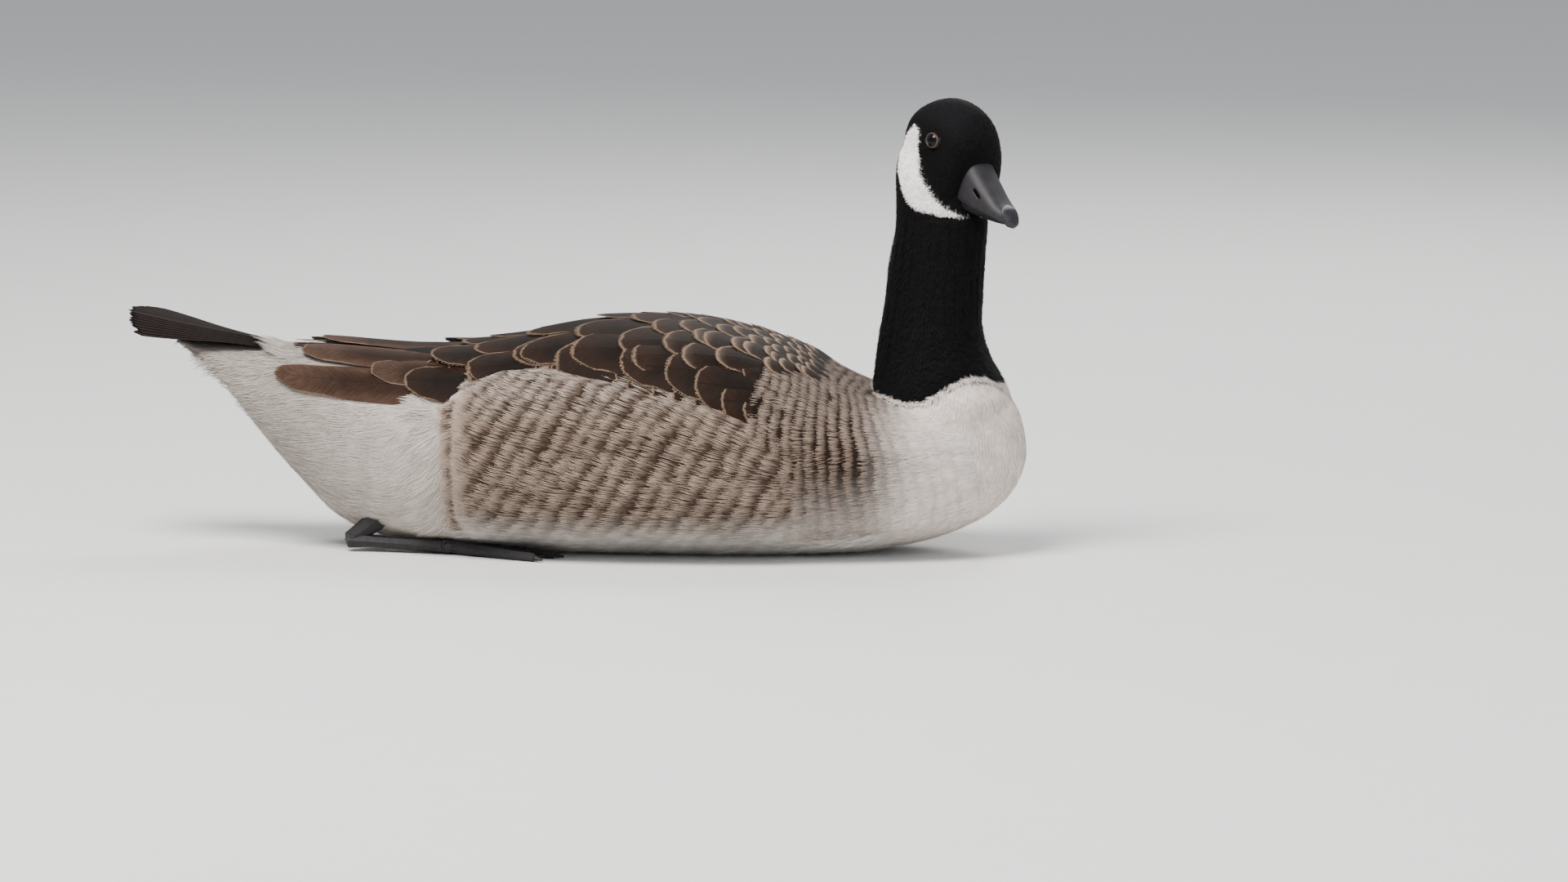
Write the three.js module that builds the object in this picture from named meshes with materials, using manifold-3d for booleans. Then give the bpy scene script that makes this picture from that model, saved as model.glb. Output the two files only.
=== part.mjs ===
// A Canada goose resting on its belly with its feet tucked under, neck up and head turned to its
// right, life size. Millimetres: +X runs to the breast, +Y to the bird's left and +Z up. The
// origin lies on the ground under the middle of the bird.
import * as THREE from "three";
import { mergeVertices } from "three/addons/utils/BufferGeometryUtils.js";
import Module from "manifold-3d";

const wasm = await Module();
wasm.setup();

// Driving dimensions
const GAP = 0.3; // between neighbouring pieces
const BODY_WIDTH = 220; // under the wings and flanks
const HEAD_YAW = 46; // degrees, to the bird's right
const HEAD_PITCH = 23; // degrees, bill down
const HEAD_AT = [279, 0, 305]; // midway between the eyes
const EYE_RADIUS = 7.6;
const EYE_APART = 43; // between the centres of the eyeballs
const EYE_AHEAD = 1.5; // of the middle of the head
const EYE_FACING = [0.1, 0.97, 0.2]; // the way the left eye looks, in the head's frame
const NECK_FOOT = 114; // height where neck and breast meet
const NECK_PARTS_AT = 176; // height of the cut between lower and upper neck
const BREAST_AT = 205; // place of the cut between torso and breast
const RUMP_AT = -80; // place of the cut between torso and rump
const WING_FRONT = 152; // bend of the folded wing
const WING_REAR = -118; // rear end of the solid part of the wing
const MANTLE_FRONT = 204;
const MANTLE_REAR = -62;
const FLANK_REAR = -80;
const FLANK_DEPTH = 7.5; // how far the flank feathers stand out
const VANE = 0.9; // thickness of the soft feathers at their root
const FLIGHT_VANE = 1.1; // thickness of the stiff feathers
const TAIL_FEATHERS = 18;
const TAIL_ROLL = 8; // degrees, right side down

const DEGREE = Math.PI / 180;
const UP = new THREE.Vector3(0, 0, 1);
const AHEAD = new THREE.Vector3(1, 0, 0);

const BROWN = { color: 0x4a372e, roughness: 0.8, metalness: 0 };
const BARRED = { color: 0x95847a, roughness: 0.85, metalness: 0 };
const WHITE = { color: 0xd2d1cf, roughness: 0.9, metalness: 0 };
const PALE = { color: 0xc9bfb8, roughness: 0.9, metalness: 0 };
const BLACK = { color: 0x151215, roughness: 0.75, metalness: 0 };
const HORN = { color: 0x342f34, roughness: 0.4, metalness: 0 };
const EYE = { color: 0x0d0806, roughness: 0.05, metalness: 0 };
const SKIN = { color: 0x1c1a1b, roughness: 0.55, metalness: 0 };

// Body sections from under the tail to the breast, evenly numbered
const TRUNK = {
  x: [
    -306, -299, -284, -262, -236, -208, -176, -138, -94, -45, 8,
    60, 110, 156, 195, 228, 257, 283, 305, 323, 331,
  ],
  top: [
    150, 152, 151, 149, 148.5, 149, 149, 148, 147.5, 154, 166,
    169.5, 165, 151.5, 133, 121, 121.5, 126, 126, 110, 76,
  ],
  bottom: [150, 146.5, 138, 119, 84, 51, 20, 5, 0.5, -2, -3, -3, -3, -2, 0, 3.5, 9, 18, 30, 49, 76],
  width: [0, 12, 26, 38, 46, 55, 65, 76.5, 89, 100, 108, 110, 107.5, 102, 96.5, 88, 77, 62.5, 45.5, 25, 0],
  widest: [150, 149, 146, 133, 114, 101, 93, 87, 80, 76, 75.5, 76, 76, 77, 78, 79, 79.5, 79, 78, 77, 76],
};
const ROUNDNESS = 0.87; // exponent of the body's section, 1 for an ellipse

// Neck sections from inside the breast up into the head
const NECK = {
  x: [262, 264, 266.7, 265.2, 261.5, 260, 262, 264, 267, 267, 265, 262, 261.5],
  y: [0, 0, 0, 0, 0, 0, 0, 0, 0, 2, 7, 13, 16],
  z: [84, 100, 117, 130, 145, 165, 190, 215, 238, 260, 282, 299, 311],
  depth: [50, 52, 51.5, 47, 42, 37.5, 36, 35.2, 34, 34, 32.5, 25, 14],
  width: [60, 63, 59, 50, 41, 35, 32, 30.5, 30, 30, 27, 20, 11],
};

// Head sections from nape to bill, along the line of the mouth and up from between the eyes
const HEAD = {
  f: [-44, -40, -32, -20, -5, 9, 20, 27, 32, 34],
  top: [-5, 6, 15, 23.5, 28, 28.5, 24.5, 15.5, 4, -14],
  bottom: [-5, -17, -31, -42, -47, -48, -47.5, -46, -42, -14],
  width: [0, 15, 23, 27, 27.5, 27.5, 27.5, 26.5, 19.5, 0],
  widest: [-5, -8, -12, -15, -20, -26, -29, -29, -25, -14],
};

// Bill sections from inside the head to the tip
const BILL = {
  f: [22, 30, 40, 49, 58, 66, 73, 78, 80.5],
  culmen: [4, 0.5, -6.5, -12, -16.3, -19.3, -21, -24, -28],
  mouth: [-32.5, -32.5, -32, -31.3, -30.2, -29.2, -28.8, -29, -29.4],
  chin: [-41, -41, -39.5, -38, -36.2, -34.5, -33, -31.8, -31.2],
  width: [15, 15.5, 14.8, 13.6, 12.4, 11.4, 9.6, 6.2, 0],
};

// Edges of mantle and flank: [place along the body, degrees up the side]
const MANTLE_EDGE = [
  [-95, 70], [-62, 66], [-30, 58], [10, 48], [50, 46], [90, 46], [130, 49], [165, 55], [205, 63],
];
const FLANK_EDGE = [
  [-88, 18], [-80, 34], [-66, 44], [-45, 50], [-15, 47],
  [29, 36], [66, 28.5], [113, 24], [150, 14.5], [168, 4], [177, -9], [181, -24],
];

const clamp = (v, low, high) => Math.min(high, Math.max(low, v));
const mix = (a, b, s) => a + (b - a) * s;
const power = (v, exponent) => Math.sign(v) * Math.pow(Math.abs(v), exponent);

function smooth(a, b, v) {
  const s = clamp((v - a) / (b - a), 0, 1);
  return s * s * (3 - 2 * s);
}

// A Catmull-Rom curve through evenly numbered values. Its ends go straight on, or turn back
// where they are mirrored, so that a row of sections closes as a round dome.
function along(values, t, isMirrored = false) {
  const last = values.length - 1;
  const i = clamp(Math.floor(t), 0, last - 1);
  const s = clamp(t - i, 0, 1);
  const [b, c] = [values[i], values[i + 1]];
  const a = i > 0 ? values[i - 1] : isMirrored ? c : 2 * b - c;
  const d = i < last - 1 ? values[i + 2] : isMirrored ? b : 2 * c - b;
  return b + 0.5 * s * (c - a + s * (2 * a - 5 * b + 4 * c - d + s * (3 * b - a - 3 * c + d)));
}

// The value at x on the straight lines through a table of [x, value] pairs
function table(pairs, x) {
  const next = pairs.findIndex((pair) => pair[0] > x);
  const i = next < 0 ? pairs.length - 2 : Math.max(0, next - 1);
  const [a, b] = [pairs[i], pairs[i + 1]];
  return mix(a[1], b[1], clamp((x - a[0]) / (b[0] - a[0]), 0, 1));
}

const mantleEdge = (x) => table(MANTLE_EDGE, x);
const flankEdge = (x) => table(FLANK_EDGE, x);

// Places along the body that mantle, wing and flank share, so that their edges run together
const SHARED = Array.from({ length: 9 }, (_, k) => mix(WING_FRONT, MANTLE_REAR, k / 8));
const MANTLE_ROWS = [MANTLE_FRONT, 178, ...SHARED];
const STRIP_ROWS = [...SHARED, -71, FLANK_REAR, -92];
const FLANK_ROWS = [181, 177, 168, ...SHARED, -71, FLANK_REAR];
const REAR_ROWS = [MANTLE_REAR - 1, FLANK_REAR - 1, -93, -106, WING_REAR];
const REAR_LOW = [50, 40, 34, 34, 34]; // lower edge of the wing there, in degrees
const rowAt = (rows, v) => rows[Math.round(v * (rows.length - 1))];

// Skin of the trunk at section t. The angle runs from -90 at the belly over 0 at the left side
// to 90 on the back and on to 180 at the right side.
function trunkSkin(t, angle) {
  const [c, s] = [Math.cos(angle * DEGREE), Math.sin(angle * DEGREE)];
  const middle = along(TRUNK.widest, t);
  const reach = s > 0 ? along(TRUNK.top, t) - middle : middle - along(TRUNK.bottom, t);
  return new THREE.Vector3(
    along(TRUNK.x, t, true),
    (along(TRUNK.width, t) * power(c, ROUNDNESS) * BODY_WIDTH) / 220,
    middle + reach * power(s, ROUNDNESS),
  );
}

function trunk(t, angle, lift) {
  const around = trunkSkin(t, angle + 1).sub(trunkSkin(t, angle - 1));
  const forward = trunkSkin(t + 0.05, angle).sub(trunkSkin(t - 0.05, angle));
  return trunkSkin(t, angle).addScaledVector(around.cross(forward).normalize(), lift);
}

// The section number at a place along the body
function sectionAt(x) {
  let [low, high] = [0, TRUNK.x.length - 1];
  for (let k = 0; k < 24; k++) {
    const half = (low + high) / 2;
    if (along(TRUNK.x, half, true) < x) low = half;
    else high = half;
  }
  return (low + high) / 2;
}

const overBody = (x, angle, lift) => trunk(sectionAt(x), angle, lift);

// A closed geometry as a solid, turned outwards
function solid(geometry) {
  const bare = geometry.clone();
  for (const name of ["normal", "uv"]) bare.deleteAttribute(name);
  const merged = mergeVertices(bare, 1e-4);
  const vertProperties = new Float32Array(merged.attributes.position.array);
  const triVerts = new Uint32Array(merged.index.array);
  const made = new wasm.Manifold(new wasm.Mesh({ numProp: 3, vertProperties, triVerts }));
  if (made.volume() > 0) return made;
  const turned = new Uint32Array(triVerts).reverse();
  return new wasm.Manifold(new wasm.Mesh({ numProp: 3, vertProperties, triVerts: turned }));
}

function geometryOf(body) {
  const mesh = body.getMesh();
  const geometry = new THREE.BufferGeometry();
  geometry.setAttribute("position", new THREE.BufferAttribute(mesh.vertProperties, 3));
  geometry.setIndex(new THREE.BufferAttribute(mesh.triVerts, 1));
  return geometry;
}

const joined = (bodies) => wasm.Manifold.union(bodies);

// The largest closed surface of a solid, without hollows or scraps
function whole(body) {
  return body.decompose().reduce((best, next) => (next.volume() > best.volume() ? next : best));
}

const moved = (body, matrix) => solid(geometryOf(body).applyMatrix4(matrix));
const mirrored = (body) => moved(body, new THREE.Matrix4().makeScale(1, -1, 1));

// A block with low and high corners
function block(low, high) {
  const [a, b] = [new THREE.Vector3(...low), new THREE.Vector3(...high)];
  const size = b.clone().sub(a);
  const centre = a.add(b).multiplyScalar(0.5);
  return solid(new THREE.BoxGeometry(size.x, size.y, size.z).translate(centre.x, centre.y, centre.z));
}

// All that lies behind a plane through point, which faces along normal
function behind(point, normal, size = 900) {
  const turn = new THREE.Quaternion().setFromUnitVectors(UP, normal.clone().normalize());
  const deep = new THREE.BoxGeometry(size, size, size).translate(0, 0, -size / 2).applyQuaternion(turn);
  return solid(deep.translate(point.x, point.y, point.z));
}

// A closed skin round an axis. place(v, turn) is the point at v from 0 to 1 along the axis and
// turn in degrees round it.
function wrapped(around, steps, place) {
  const geometry = new THREE.SphereGeometry(1, around, steps);
  const { position, uv } = geometry.attributes;
  for (let i = 0; i < position.count; i++) {
    const v = Math.round(uv.getY(i) * steps) / steps;
    const isPole = v === 0 || v === 1;
    const turn = isPole ? 0 : (Math.round(uv.getX(i) * around) % around) * (360 / around);
    position.setXYZ(i, ...place(v, turn).toArray());
  }
  return solid(geometry);
}

// A thin plate of across by long cells, with both faces split alike. place(u, v, isTop) is the
// point at u from -1 to 1 across and v from 0 to 1 along.
function plate(across, long, place) {
  const wide = across + 1;
  const below = wide * (long + 1);
  const points = [];
  for (const isTop of [true, false])
    for (let k = 0; k < below; k++) {
      const [i, j] = [k % wide, Math.floor(k / wide)];
      points.push(...place((2 * i) / across - 1, j / long, isTop).toArray());
    }
  const faces = [];
  const quad = (a, b, c, d) => faces.push(a, b, c, a, c, d);
  for (let j = 0; j < long; j++)
    for (let i = 0; i < across; i++) {
      const a = j * wide + i;
      const [b, c, d] = [a + 1, a + wide + 1, a + wide];
      quad(a, b, c, d);
      faces.push(a + below, c + below, b + below, a + below, d + below, c + below);
    }
  for (let i = 0; i < across; i++) {
    const end = long * wide + i;
    quad(i + below, i + 1 + below, i + 1, i);
    quad(end + 1 + below, end + below, end, end + 1);
  }
  for (let j = 0; j < long; j++) {
    const left = j * wide;
    const right = left + across;
    quad(left + wide + below, left + below, left, left + wide);
    quad(right + below, right + wide + below, right + wide, right);
  }
  const geometry = new THREE.BufferGeometry();
  geometry.setAttribute("position", new THREE.Float32BufferAttribute(points, 3));
  geometry.setIndex(faces);
  return solid(geometry);
}

// A feather on the trunk: it grows at x and angle and points to the rear, slanted downwards by
// slant degrees, and rises from its sunk root to its tip. All lengths are measured on the skin.
function feather(f) {
  const { x, angle, length, width, slant = 0, root = -1, tip = 6, camber = 0.8, long = 2, thick = VANE } = f;
  const [c, s] = [Math.cos(slant * DEGREE), Math.sin(slant * DEGREE)];
  return plate(3, long, (u, v, isTop) => {
    const half = (width / 2) * (0.6 + 0.4 * smooth(0, 0.45, v)) * (1 - 0.25 * smooth(0.6, 1, v));
    const back = length * v - 0.3 * width * u * u * smooth(0.4, 1, v);
    const place = x - back * c - u * half * s;
    const perDegree = overBody(place, angle + 1, 0).distanceTo(overBody(place, angle, 0));
    const lift = mix(root, tip, v) - camber * u * u - (isTop ? 0 : thick * (1 - 0.3 * v));
    return overBody(place, angle + (u * half * c - back * s) / perDegree, lift);
  });
}

let seed = 7;
function jitter(amount) {
  seed = (seed * 16807) % 2147483647;
  return (seed / 2147483647 - 0.5) * 2 * amount;
}

const trunkBody = (lift) => wrapped(28, 28, (v, turn) => trunk(v * (TRUNK.x.length - 1), turn, lift));

function neckBody(grow) {
  const last = NECK.x.length - 1;
  return wrapped(18, 14, (v, turn) => {
    const t = clamp((v - 0.02) / 0.96, 0, 1) * last;
    const isEnd = v === 0 || v === 1;
    const [c, s] = [Math.cos(turn * DEGREE), Math.sin(turn * DEGREE)];
    return new THREE.Vector3(
      along(NECK.x, t) + (isEnd ? 0 : (along(NECK.depth, t) + grow) * c),
      along(NECK.y, t) + (isEnd ? 0 : (along(NECK.width, t) + grow) * s),
      along(NECK.z, t),
    );
  });
}

const headTurn = new THREE.Matrix4()
  .makeRotationFromEuler(new THREE.Euler(0, HEAD_PITCH * DEGREE, -HEAD_YAW * DEGREE, "ZYX"))
  .setPosition(...HEAD_AT);

function headBody() {
  return wrapped(20, 14, (v, turn) => {
    const t = v * (HEAD.f.length - 1);
    const [c, s] = [Math.cos(turn * DEGREE), Math.sin(turn * DEGREE)];
    const middle = along(HEAD.widest, t);
    const reach = s > 0 ? along(HEAD.top, t) - middle : middle - along(HEAD.bottom, t);
    return new THREE.Vector3(
      along(HEAD.f, t, true),
      along(HEAD.width, t) * power(c, 0.9),
      middle + reach * power(s, 0.9),
    );
  });
}

// The upper half of the bill is an arch over the line of the mouth, the lower a shallow trough
function mandible(isUpper, grow) {
  const side = isUpper ? 1 : -1;
  return wrapped(14, 12, (v, turn) => {
    const t = v * (BILL.f.length - 1);
    const [c, s] = [Math.cos(turn * DEGREE), Math.sin(turn * DEGREE)];
    const mouth = along(BILL.mouth, t) + side * (GAP / 2 - grow);
    const crest = along(isUpper ? BILL.culmen : BILL.chin, t) + side * grow;
    const away = Math.max(0, side * s);
    const isEnd = v === 0 || v === 1;
    return new THREE.Vector3(
      along(BILL.f, t, true) - (isUpper ? 0 : 3 * smooth(0.4, 1, v)) + grow * smooth(0.7, 1, v),
      isEnd ? 0 : (along(BILL.width, t) * (isUpper ? 1 : 0.88) + grow) * power(c, 0.65),
      mix(mouth, crest, isEnd ? 0.5 : power(away, 0.85)),
    );
  });
}

function ball(radii, at, around = 14, steps = 9) {
  return solid(new THREE.SphereGeometry(1, around, steps).scale(...radii).translate(...at));
}

function eyeAxis(side) {
  return new THREE.Vector3(EYE_FACING[0], side * EYE_FACING[1], EYE_FACING[2]).normalize();
}

function eyeball(side, grow) {
  const radius = EYE_RADIUS + grow;
  return ball([radius, radius, radius], [EYE_AHEAD, (side * EYE_APART) / 2, 0], 12, 8);
}

// Upper and lower lid as one low ring round the opening
function lids(side) {
  const turn = new THREE.Quaternion().setFromUnitVectors(UP, eyeAxis(side));
  const ring = new THREE.TorusGeometry(6.2, 1.2, 5, 14).applyQuaternion(turn);
  const at = eyeAxis(side).multiplyScalar(4.8);
  return solid(ring.translate(at.x + EYE_AHEAD, at.y + (side * EYE_APART) / 2, at.z));
}

const nostril = (side) => ball([5.4, 4, 1.9], [48, side * 11, -17.5], 10, 6);
const nailRoom = (grow) => ball([10.5 + grow, 7.2 + grow, 10], [80, 0, -22], 12, 8);

// The back: a low pad with tiers of mantle feathers, growing longer to the scapulars at the rear
const MANTLE_TIERS = [
  { x: 182, length: 38, width: 24, count: 5 },
  { x: 158, length: 42, width: 27, count: 6 },
  { x: 132, length: 50, width: 31, count: 5 },
  { x: 102, length: 58, width: 36, count: 6 },
  { x: 68, length: 68, width: 41, count: 5 },
  { x: 34, length: 78, width: 44, count: 4 },
  { x: -2, length: 82, width: 45, count: 4 },
];

function mantle() {
  const pad = plate(8, MANTLE_ROWS.length - 1, (u, v, isTop) => {
    const x = rowAt(MANTLE_ROWS, v);
    const angle = 90 + u * (90 - mantleEdge(x) - 0.15);
    const rim = Math.sqrt(1 - u ** 4 * 0.7) * smooth(0, 0.3, v) * (1 - 0.45 * smooth(0.8, 1, v));
    return overBody(x, angle, isTop ? 0.8 + 3.6 * rim : -3);
  });
  const pieces = [pad];
  for (const tier of MANTLE_TIERS)
    for (let i = 0; i < tier.count; i++) {
      const place = (2 * i) / (tier.count - 1) - 1;
      const perDegree = overBody(tier.x, 71, 0).distanceTo(overBody(tier.x, 70, 0));
      const edge = Math.max(mantleEdge(tier.x), mantleEdge(Math.max(tier.x - tier.length, MANTLE_REAR)));
      const span = 90 - edge - (tier.width * 0.5) / perDegree - 1.6;
      pieces.push(
        feather({
          x: tier.x + jitter(2.5) - 7 * place * place,
          angle: 90 + place * span,
          length: tier.length,
          width: tier.width,
          tip: 7 + 0.5 * (i % 2), // neighbours at two levels, so that they overlap
        }),
      );
    }
  return joined(pieces);
}

// A folded left wing: the solid part between mantle and flank, coverts in tiers, then the
// tertials and the tips of the primaries over the rump
const COVERTS = [
  { x: 148, length: 38, up: 0.3, share: 0.5 },
  { x: 142, length: 38, up: 0.7, share: 0.5 },
  { x: 122, length: 44, up: 0.3, share: 0.52 },
  { x: 114, length: 44, up: 0.7, share: 0.52 },
  { x: 94, length: 50, up: 0.32, share: 0.56 },
  { x: 84, length: 50, up: 0.7, share: 0.52 },
  { x: 60, length: 52, up: 0.48, share: 0.72 },
  { x: 24, length: 52, up: 0.5, share: 0.62 },
];
const TERTIALS = [
  { x: -69, angle: 45, length: 57, width: 40, tip: 7 },
  { x: -78, angle: 40, length: 138, width: 36, tip: 7.5, slant: 5 },
  { x: -80, angle: 61, length: 120, width: 38, tip: 7.5, slant: -1 },
];
const PRIMARIES = [
  { x: -84, angle: 79, length: 126, width: 20 },
  { x: -86, angle: 74, length: 112, width: 20 },
  { x: -88, angle: 69, length: 97, width: 20 },
];

function wing() {
  const strip = plate(3, STRIP_ROWS.length - 1, (u, v, isTop) => {
    const x = rowAt(STRIP_ROWS, v);
    const low = x < FLANK_REAR ? REAR_LOW[2] : flankEdge(x) + 0.15;
    const angle = mix(low, mantleEdge(x) - 0.15, (u + 1) / 2);
    return overBody(x, angle, isTop ? 0.8 + 2.4 * smooth(0, 0.2, v) : -3);
  });
  const rear = plate(6, REAR_ROWS.length - 1, (u, v, isTop) => {
    const angle = mix(rowAt(REAR_LOW, v), 89.7, (u + 1) / 2);
    return overBody(rowAt(REAR_ROWS, v), angle, isTop ? 1.6 + 1.4 * smooth(0.5, 0.9, v) : -3);
  });
  const coverts = COVERTS.map((f) => {
    const [low, high] = [flankEdge(f.x - f.length), mantleEdge(f.x - f.length)];
    const [lowRoot, highRoot] = [flankEdge(f.x), mantleEdge(f.x)];
    const perDegree = overBody(f.x, 41, 0).distanceTo(overBody(f.x, 40, 0));
    const [angle, angleTip] = [mix(lowRoot, highRoot, f.up), mix(low, high, f.up)];
    const slant = Math.atan2((angle - angleTip) * perDegree, f.length) / DEGREE;
    return feather({ ...f, angle, slant, width: f.share * (high - low) * perDegree, root: 0, tip: 5.4 });
  });
  const stiff = { root: -1, camber: 1.2, thick: FLIGHT_VANE, long: 4 };
  const tertials = TERTIALS.map((f) => feather({ ...stiff, ...f }));
  const primaries = PRIMARIES.map((f, k) => feather({ ...stiff, ...f, tip: 4.4 + 0.2 * k, camber: 0.4 }));
  return joined([strip, rear, ...coverts, ...tertials, ...primaries]);
}

// A left flank: the side feathers as one full form over the lower edge of the wing, which ends
// in a rounded edge at the rear
function flank() {
  return plate(10, FLANK_ROWS.length - 1, (u, v, isTop) => {
    const x = rowAt(FLANK_ROWS, v);
    const angle = mix(-46, flankEdge(x) - 0.25, (u + 1) / 2);
    const ends = smooth(0, 0.4, v) * Math.sqrt(1 - 0.75 * smooth(0.86, 1, v));
    const rim = ends * Math.sqrt(1 - 0.8 * Math.abs(u) ** 6);
    return overBody(x, angle, isTop ? 0.8 + FLANK_DEPTH * rim : -3);
  });
}

// The deck of the tail rises to the rear, is a little arched and rolls to the right
function deck(x, y, lift) {
  const rise = mix(148.5, 168.5, (-235 - x) / 98);
  const roll = Math.tan(TAIL_ROLL * DEGREE) * y * smooth(-240, -320, x);
  return new THREE.Vector3(x, y, rise + roll - 0.0022 * y * y + lift);
}

function tail() {
  const coverts = plate(6, 5, (u, v, isTop) => {
    const half = mix(26, 29, v) * Math.sqrt(1 - 0.6 * (2 * v - 1) ** 2);
    const dome = (1 - u ** 4) * Math.sqrt(v * (1 - v) * 4);
    return deck(mix(-214, -268, v), u * half, isTop ? 1 + 2.4 * dome : -7);
  });
  const vanes = Array.from({ length: TAIL_FEATHERS }, (_, k) => {
    const place = (2 * k) / (TAIL_FEATHERS - 1) - 1;
    const length = 100 - 12 * place ** 2 + jitter(1.2);
    return plate(3, 2, (u, v, isTop) => {
      const half = 7 * (0.6 + 0.4 * smooth(0, 0.5, v)) * (1 - 0.3 * smooth(0.75, 1, v));
      const x = -232 - length * (v - 0.06 * u * u * smooth(0.7, 1, v));
      const layer = 1.4 - 5 * Math.abs(place) + 0.6 * u * Math.sign(place);
      return deck(x, place * mix(20, 36, v) + u * half, layer - (isTop ? 0 : FLIGHT_VANE * (1 - 0.3 * v)));
    });
  });
  return joined([coverts, ...vanes]);
}

// A left leg folded under the belly: the heel to the rear, shank and toes on the ground
const HEEL = new THREE.Vector3(-164, 46, 8.5);
const TOE_ROOT = new THREE.Vector3(-88, 56, 6);
const KNEE = new THREE.Vector3(-126, 42, 36);
const SHANK_RADIUS = 4.5;
const TOES = [
  { turn: -6, length: 60, joints: 2 },
  { turn: 10, length: 80, joints: 3 },
  { turn: 26, length: 74, joints: 4 },
];

// A round limb through a few points, with its radius as a function of the share of its length
function limb(points, radius, grow, steps = 5, sides = 7) {
  const curve = new THREE.CatmullRomCurve3(points);
  return wrapped(sides, steps + 2, (v, turn) => {
    const s = clamp((v * (steps + 2) - 1) / steps, 0, 1);
    const isEnd = v === 0 || v === 1;
    const ahead = curve.getTangent(s);
    const side = new THREE.Vector3(-ahead.y, ahead.x, 0).normalize();
    const up = ahead.clone().cross(side);
    const r = isEnd ? 0 : radius(s) + grow;
    return curve
      .getPoint(s)
      .addScaledVector(ahead, isEnd ? (v < 0.5 ? -1 : 1) * (radius(s) * 0.6 + grow) : 0)
      .addScaledVector(side, r * Math.cos(turn * DEGREE))
      .addScaledVector(up, r * Math.sin(turn * DEGREE));
  });
}

function shank(grow) {
  const half = HEEL.clone().lerp(TOE_ROOT, 0.5);
  const joints = (s) => 2 * (1 - smooth(0, 0.25, s)) + smooth(0.75, 1, s);
  const low = limb([HEEL, half, TOE_ROOT], (s) => SHANK_RADIUS + joints(s), grow);
  const high = limb([HEEL, HEEL.clone().lerp(KNEE, 0.5), KNEE], (s) => mix(6, 10, s), grow);
  return joined([low, high]);
}

function toeTip(toe) {
  const reach = new THREE.Vector3(toe.length, 0, 0).applyAxisAngle(UP, toe.turn * DEGREE);
  return TOE_ROOT.clone().add(reach).setZ(3.4);
}

function webbedFoot(grow) {
  const pieces = [ball([7 + grow, 6.4 + grow, 5.2 + grow], TOE_ROOT.toArray(), 8, 5)];
  for (const toe of TOES) {
    const tip = toeTip(toe);
    const ahead = tip.clone().sub(TOE_ROOT).setZ(0).normalize();
    const claw = [tip.clone().addScaledVector(ahead, -2), tip.clone().addScaledVector(ahead, 7).setZ(2)];
    const knuckles = (s) => mix(4.2, 2.9, s) + 0.35 * Math.cos(s * toe.joints * 2 * Math.PI);
    pieces.push(limb([TOE_ROOT, TOE_ROOT.clone().lerp(tip, 0.5), tip], knuckles, grow, 4, 5));
    pieces.push(limb(claw, (s) => mix(2.3, 0.9, s), grow, 1, 4));
  }
  for (const k of [0, 1]) {
    const [inner, outer] = [toeTip(TOES[k]), toeTip(TOES[k + 1])];
    pieces.push(
      plate(3, 3, (u, v, isTop) => {
        const edge = inner.clone().lerp(outer, (u + 1) / 2);
        const p = TOE_ROOT.clone().lerp(edge, mix(0.1, 0.96, v) * (1 - 0.07 * v * (1 - u * u)));
        return p.setZ(2.4 + (isTop ? 1 : -1) * (0.6 + grow));
      }),
    );
  }
  return joined(pieces);
}

// Assembly
const goose = new THREE.Group();

function add(name, body, look) {
  const mesh = new THREE.Mesh(geometryOf(whole(body)), new THREE.MeshStandardMaterial(look));
  mesh.name = name;
  goose.add(mesh);
}

// A left piece and its mirror image, each cut clear of the trunk where it lies on it
function addBoth(name, body, look, room) {
  for (const [side, piece] of [["left", body], ["right", mirrored(body)]])
    add(name + "_" + side, room ? piece.subtract(room) : piece, look);
}

const under = (height) => behind(new THREE.Vector3(0, 0, height), UP);
const slice = (from, to) => block([from, -300, -50], [to, 300, 400]);
const inHead = (f, l, u) => new THREE.Vector3(f, l, u).applyMatrix4(headTurn);

const bodyRoom = trunkBody(GAP);
const neck = neckBody(0);

// Trunk, parted in three, with room for legs, feet and neck
const ground = under(0);
const limbRoom = joined([webbedFoot(GAP), shank(GAP)]);
const neckAbove = neckBody(GAP).subtract(under(NECK_FOOT));
const flesh = joined([trunkBody(0), neck.intersect(under(NECK_FOOT))])
  .subtract(joined([ground, limbRoom, mirrored(limbRoom), neckAbove]));
add("torso", flesh.intersect(slice(RUMP_AT + GAP / 2, BREAST_AT - GAP / 2)), BARRED);
add("breast", flesh.intersect(slice(BREAST_AT + GAP / 2, 400)), PALE);
add("rump", flesh.intersect(slice(-400, RUMP_AT - GAP / 2)), WHITE);

// Neck and head, parted by a plane under the jaw
const throat = inHead(10, 0, -58);
const jawUp = inHead(-0.3, 0, 0.954).sub(inHead(0, 0, 0));
const underJaw = (rise) => behind(throat.clone().addScaledVector(jawUp, rise), jawUp);
const skull = moved(joined([headBody(), lids(1), lids(-1)]), headTurn);
const headRoom = [mandible(true, GAP), mandible(false, GAP), eyeball(1, GAP), eyeball(-1, GAP)];
const neckAndJaw = joined([neck, moved(headBody(), headTurn)]).intersect(underJaw(0));
add("neck_lower", neckAndJaw.intersect(under(NECK_PARTS_AT)).subtract(under(NECK_FOOT + GAP)), BLACK);
add("neck_upper", neckAndJaw.subtract(under(NECK_PARTS_AT + GAP)), BLACK);
const besideHead = joined([underJaw(GAP), moved(joined(headRoom), headTurn)]);
add("head", joined([skull, neck]).subtract(besideHead), BLACK);
const nostrils = joined([nostril(1), nostril(-1)]);
add("bill_upper", moved(mandible(true, 0).subtract(joined([nostrils, nailRoom(GAP)])), headTurn), HORN);
add("bill_lower", moved(mandible(false, 0), headTurn), HORN);
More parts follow.
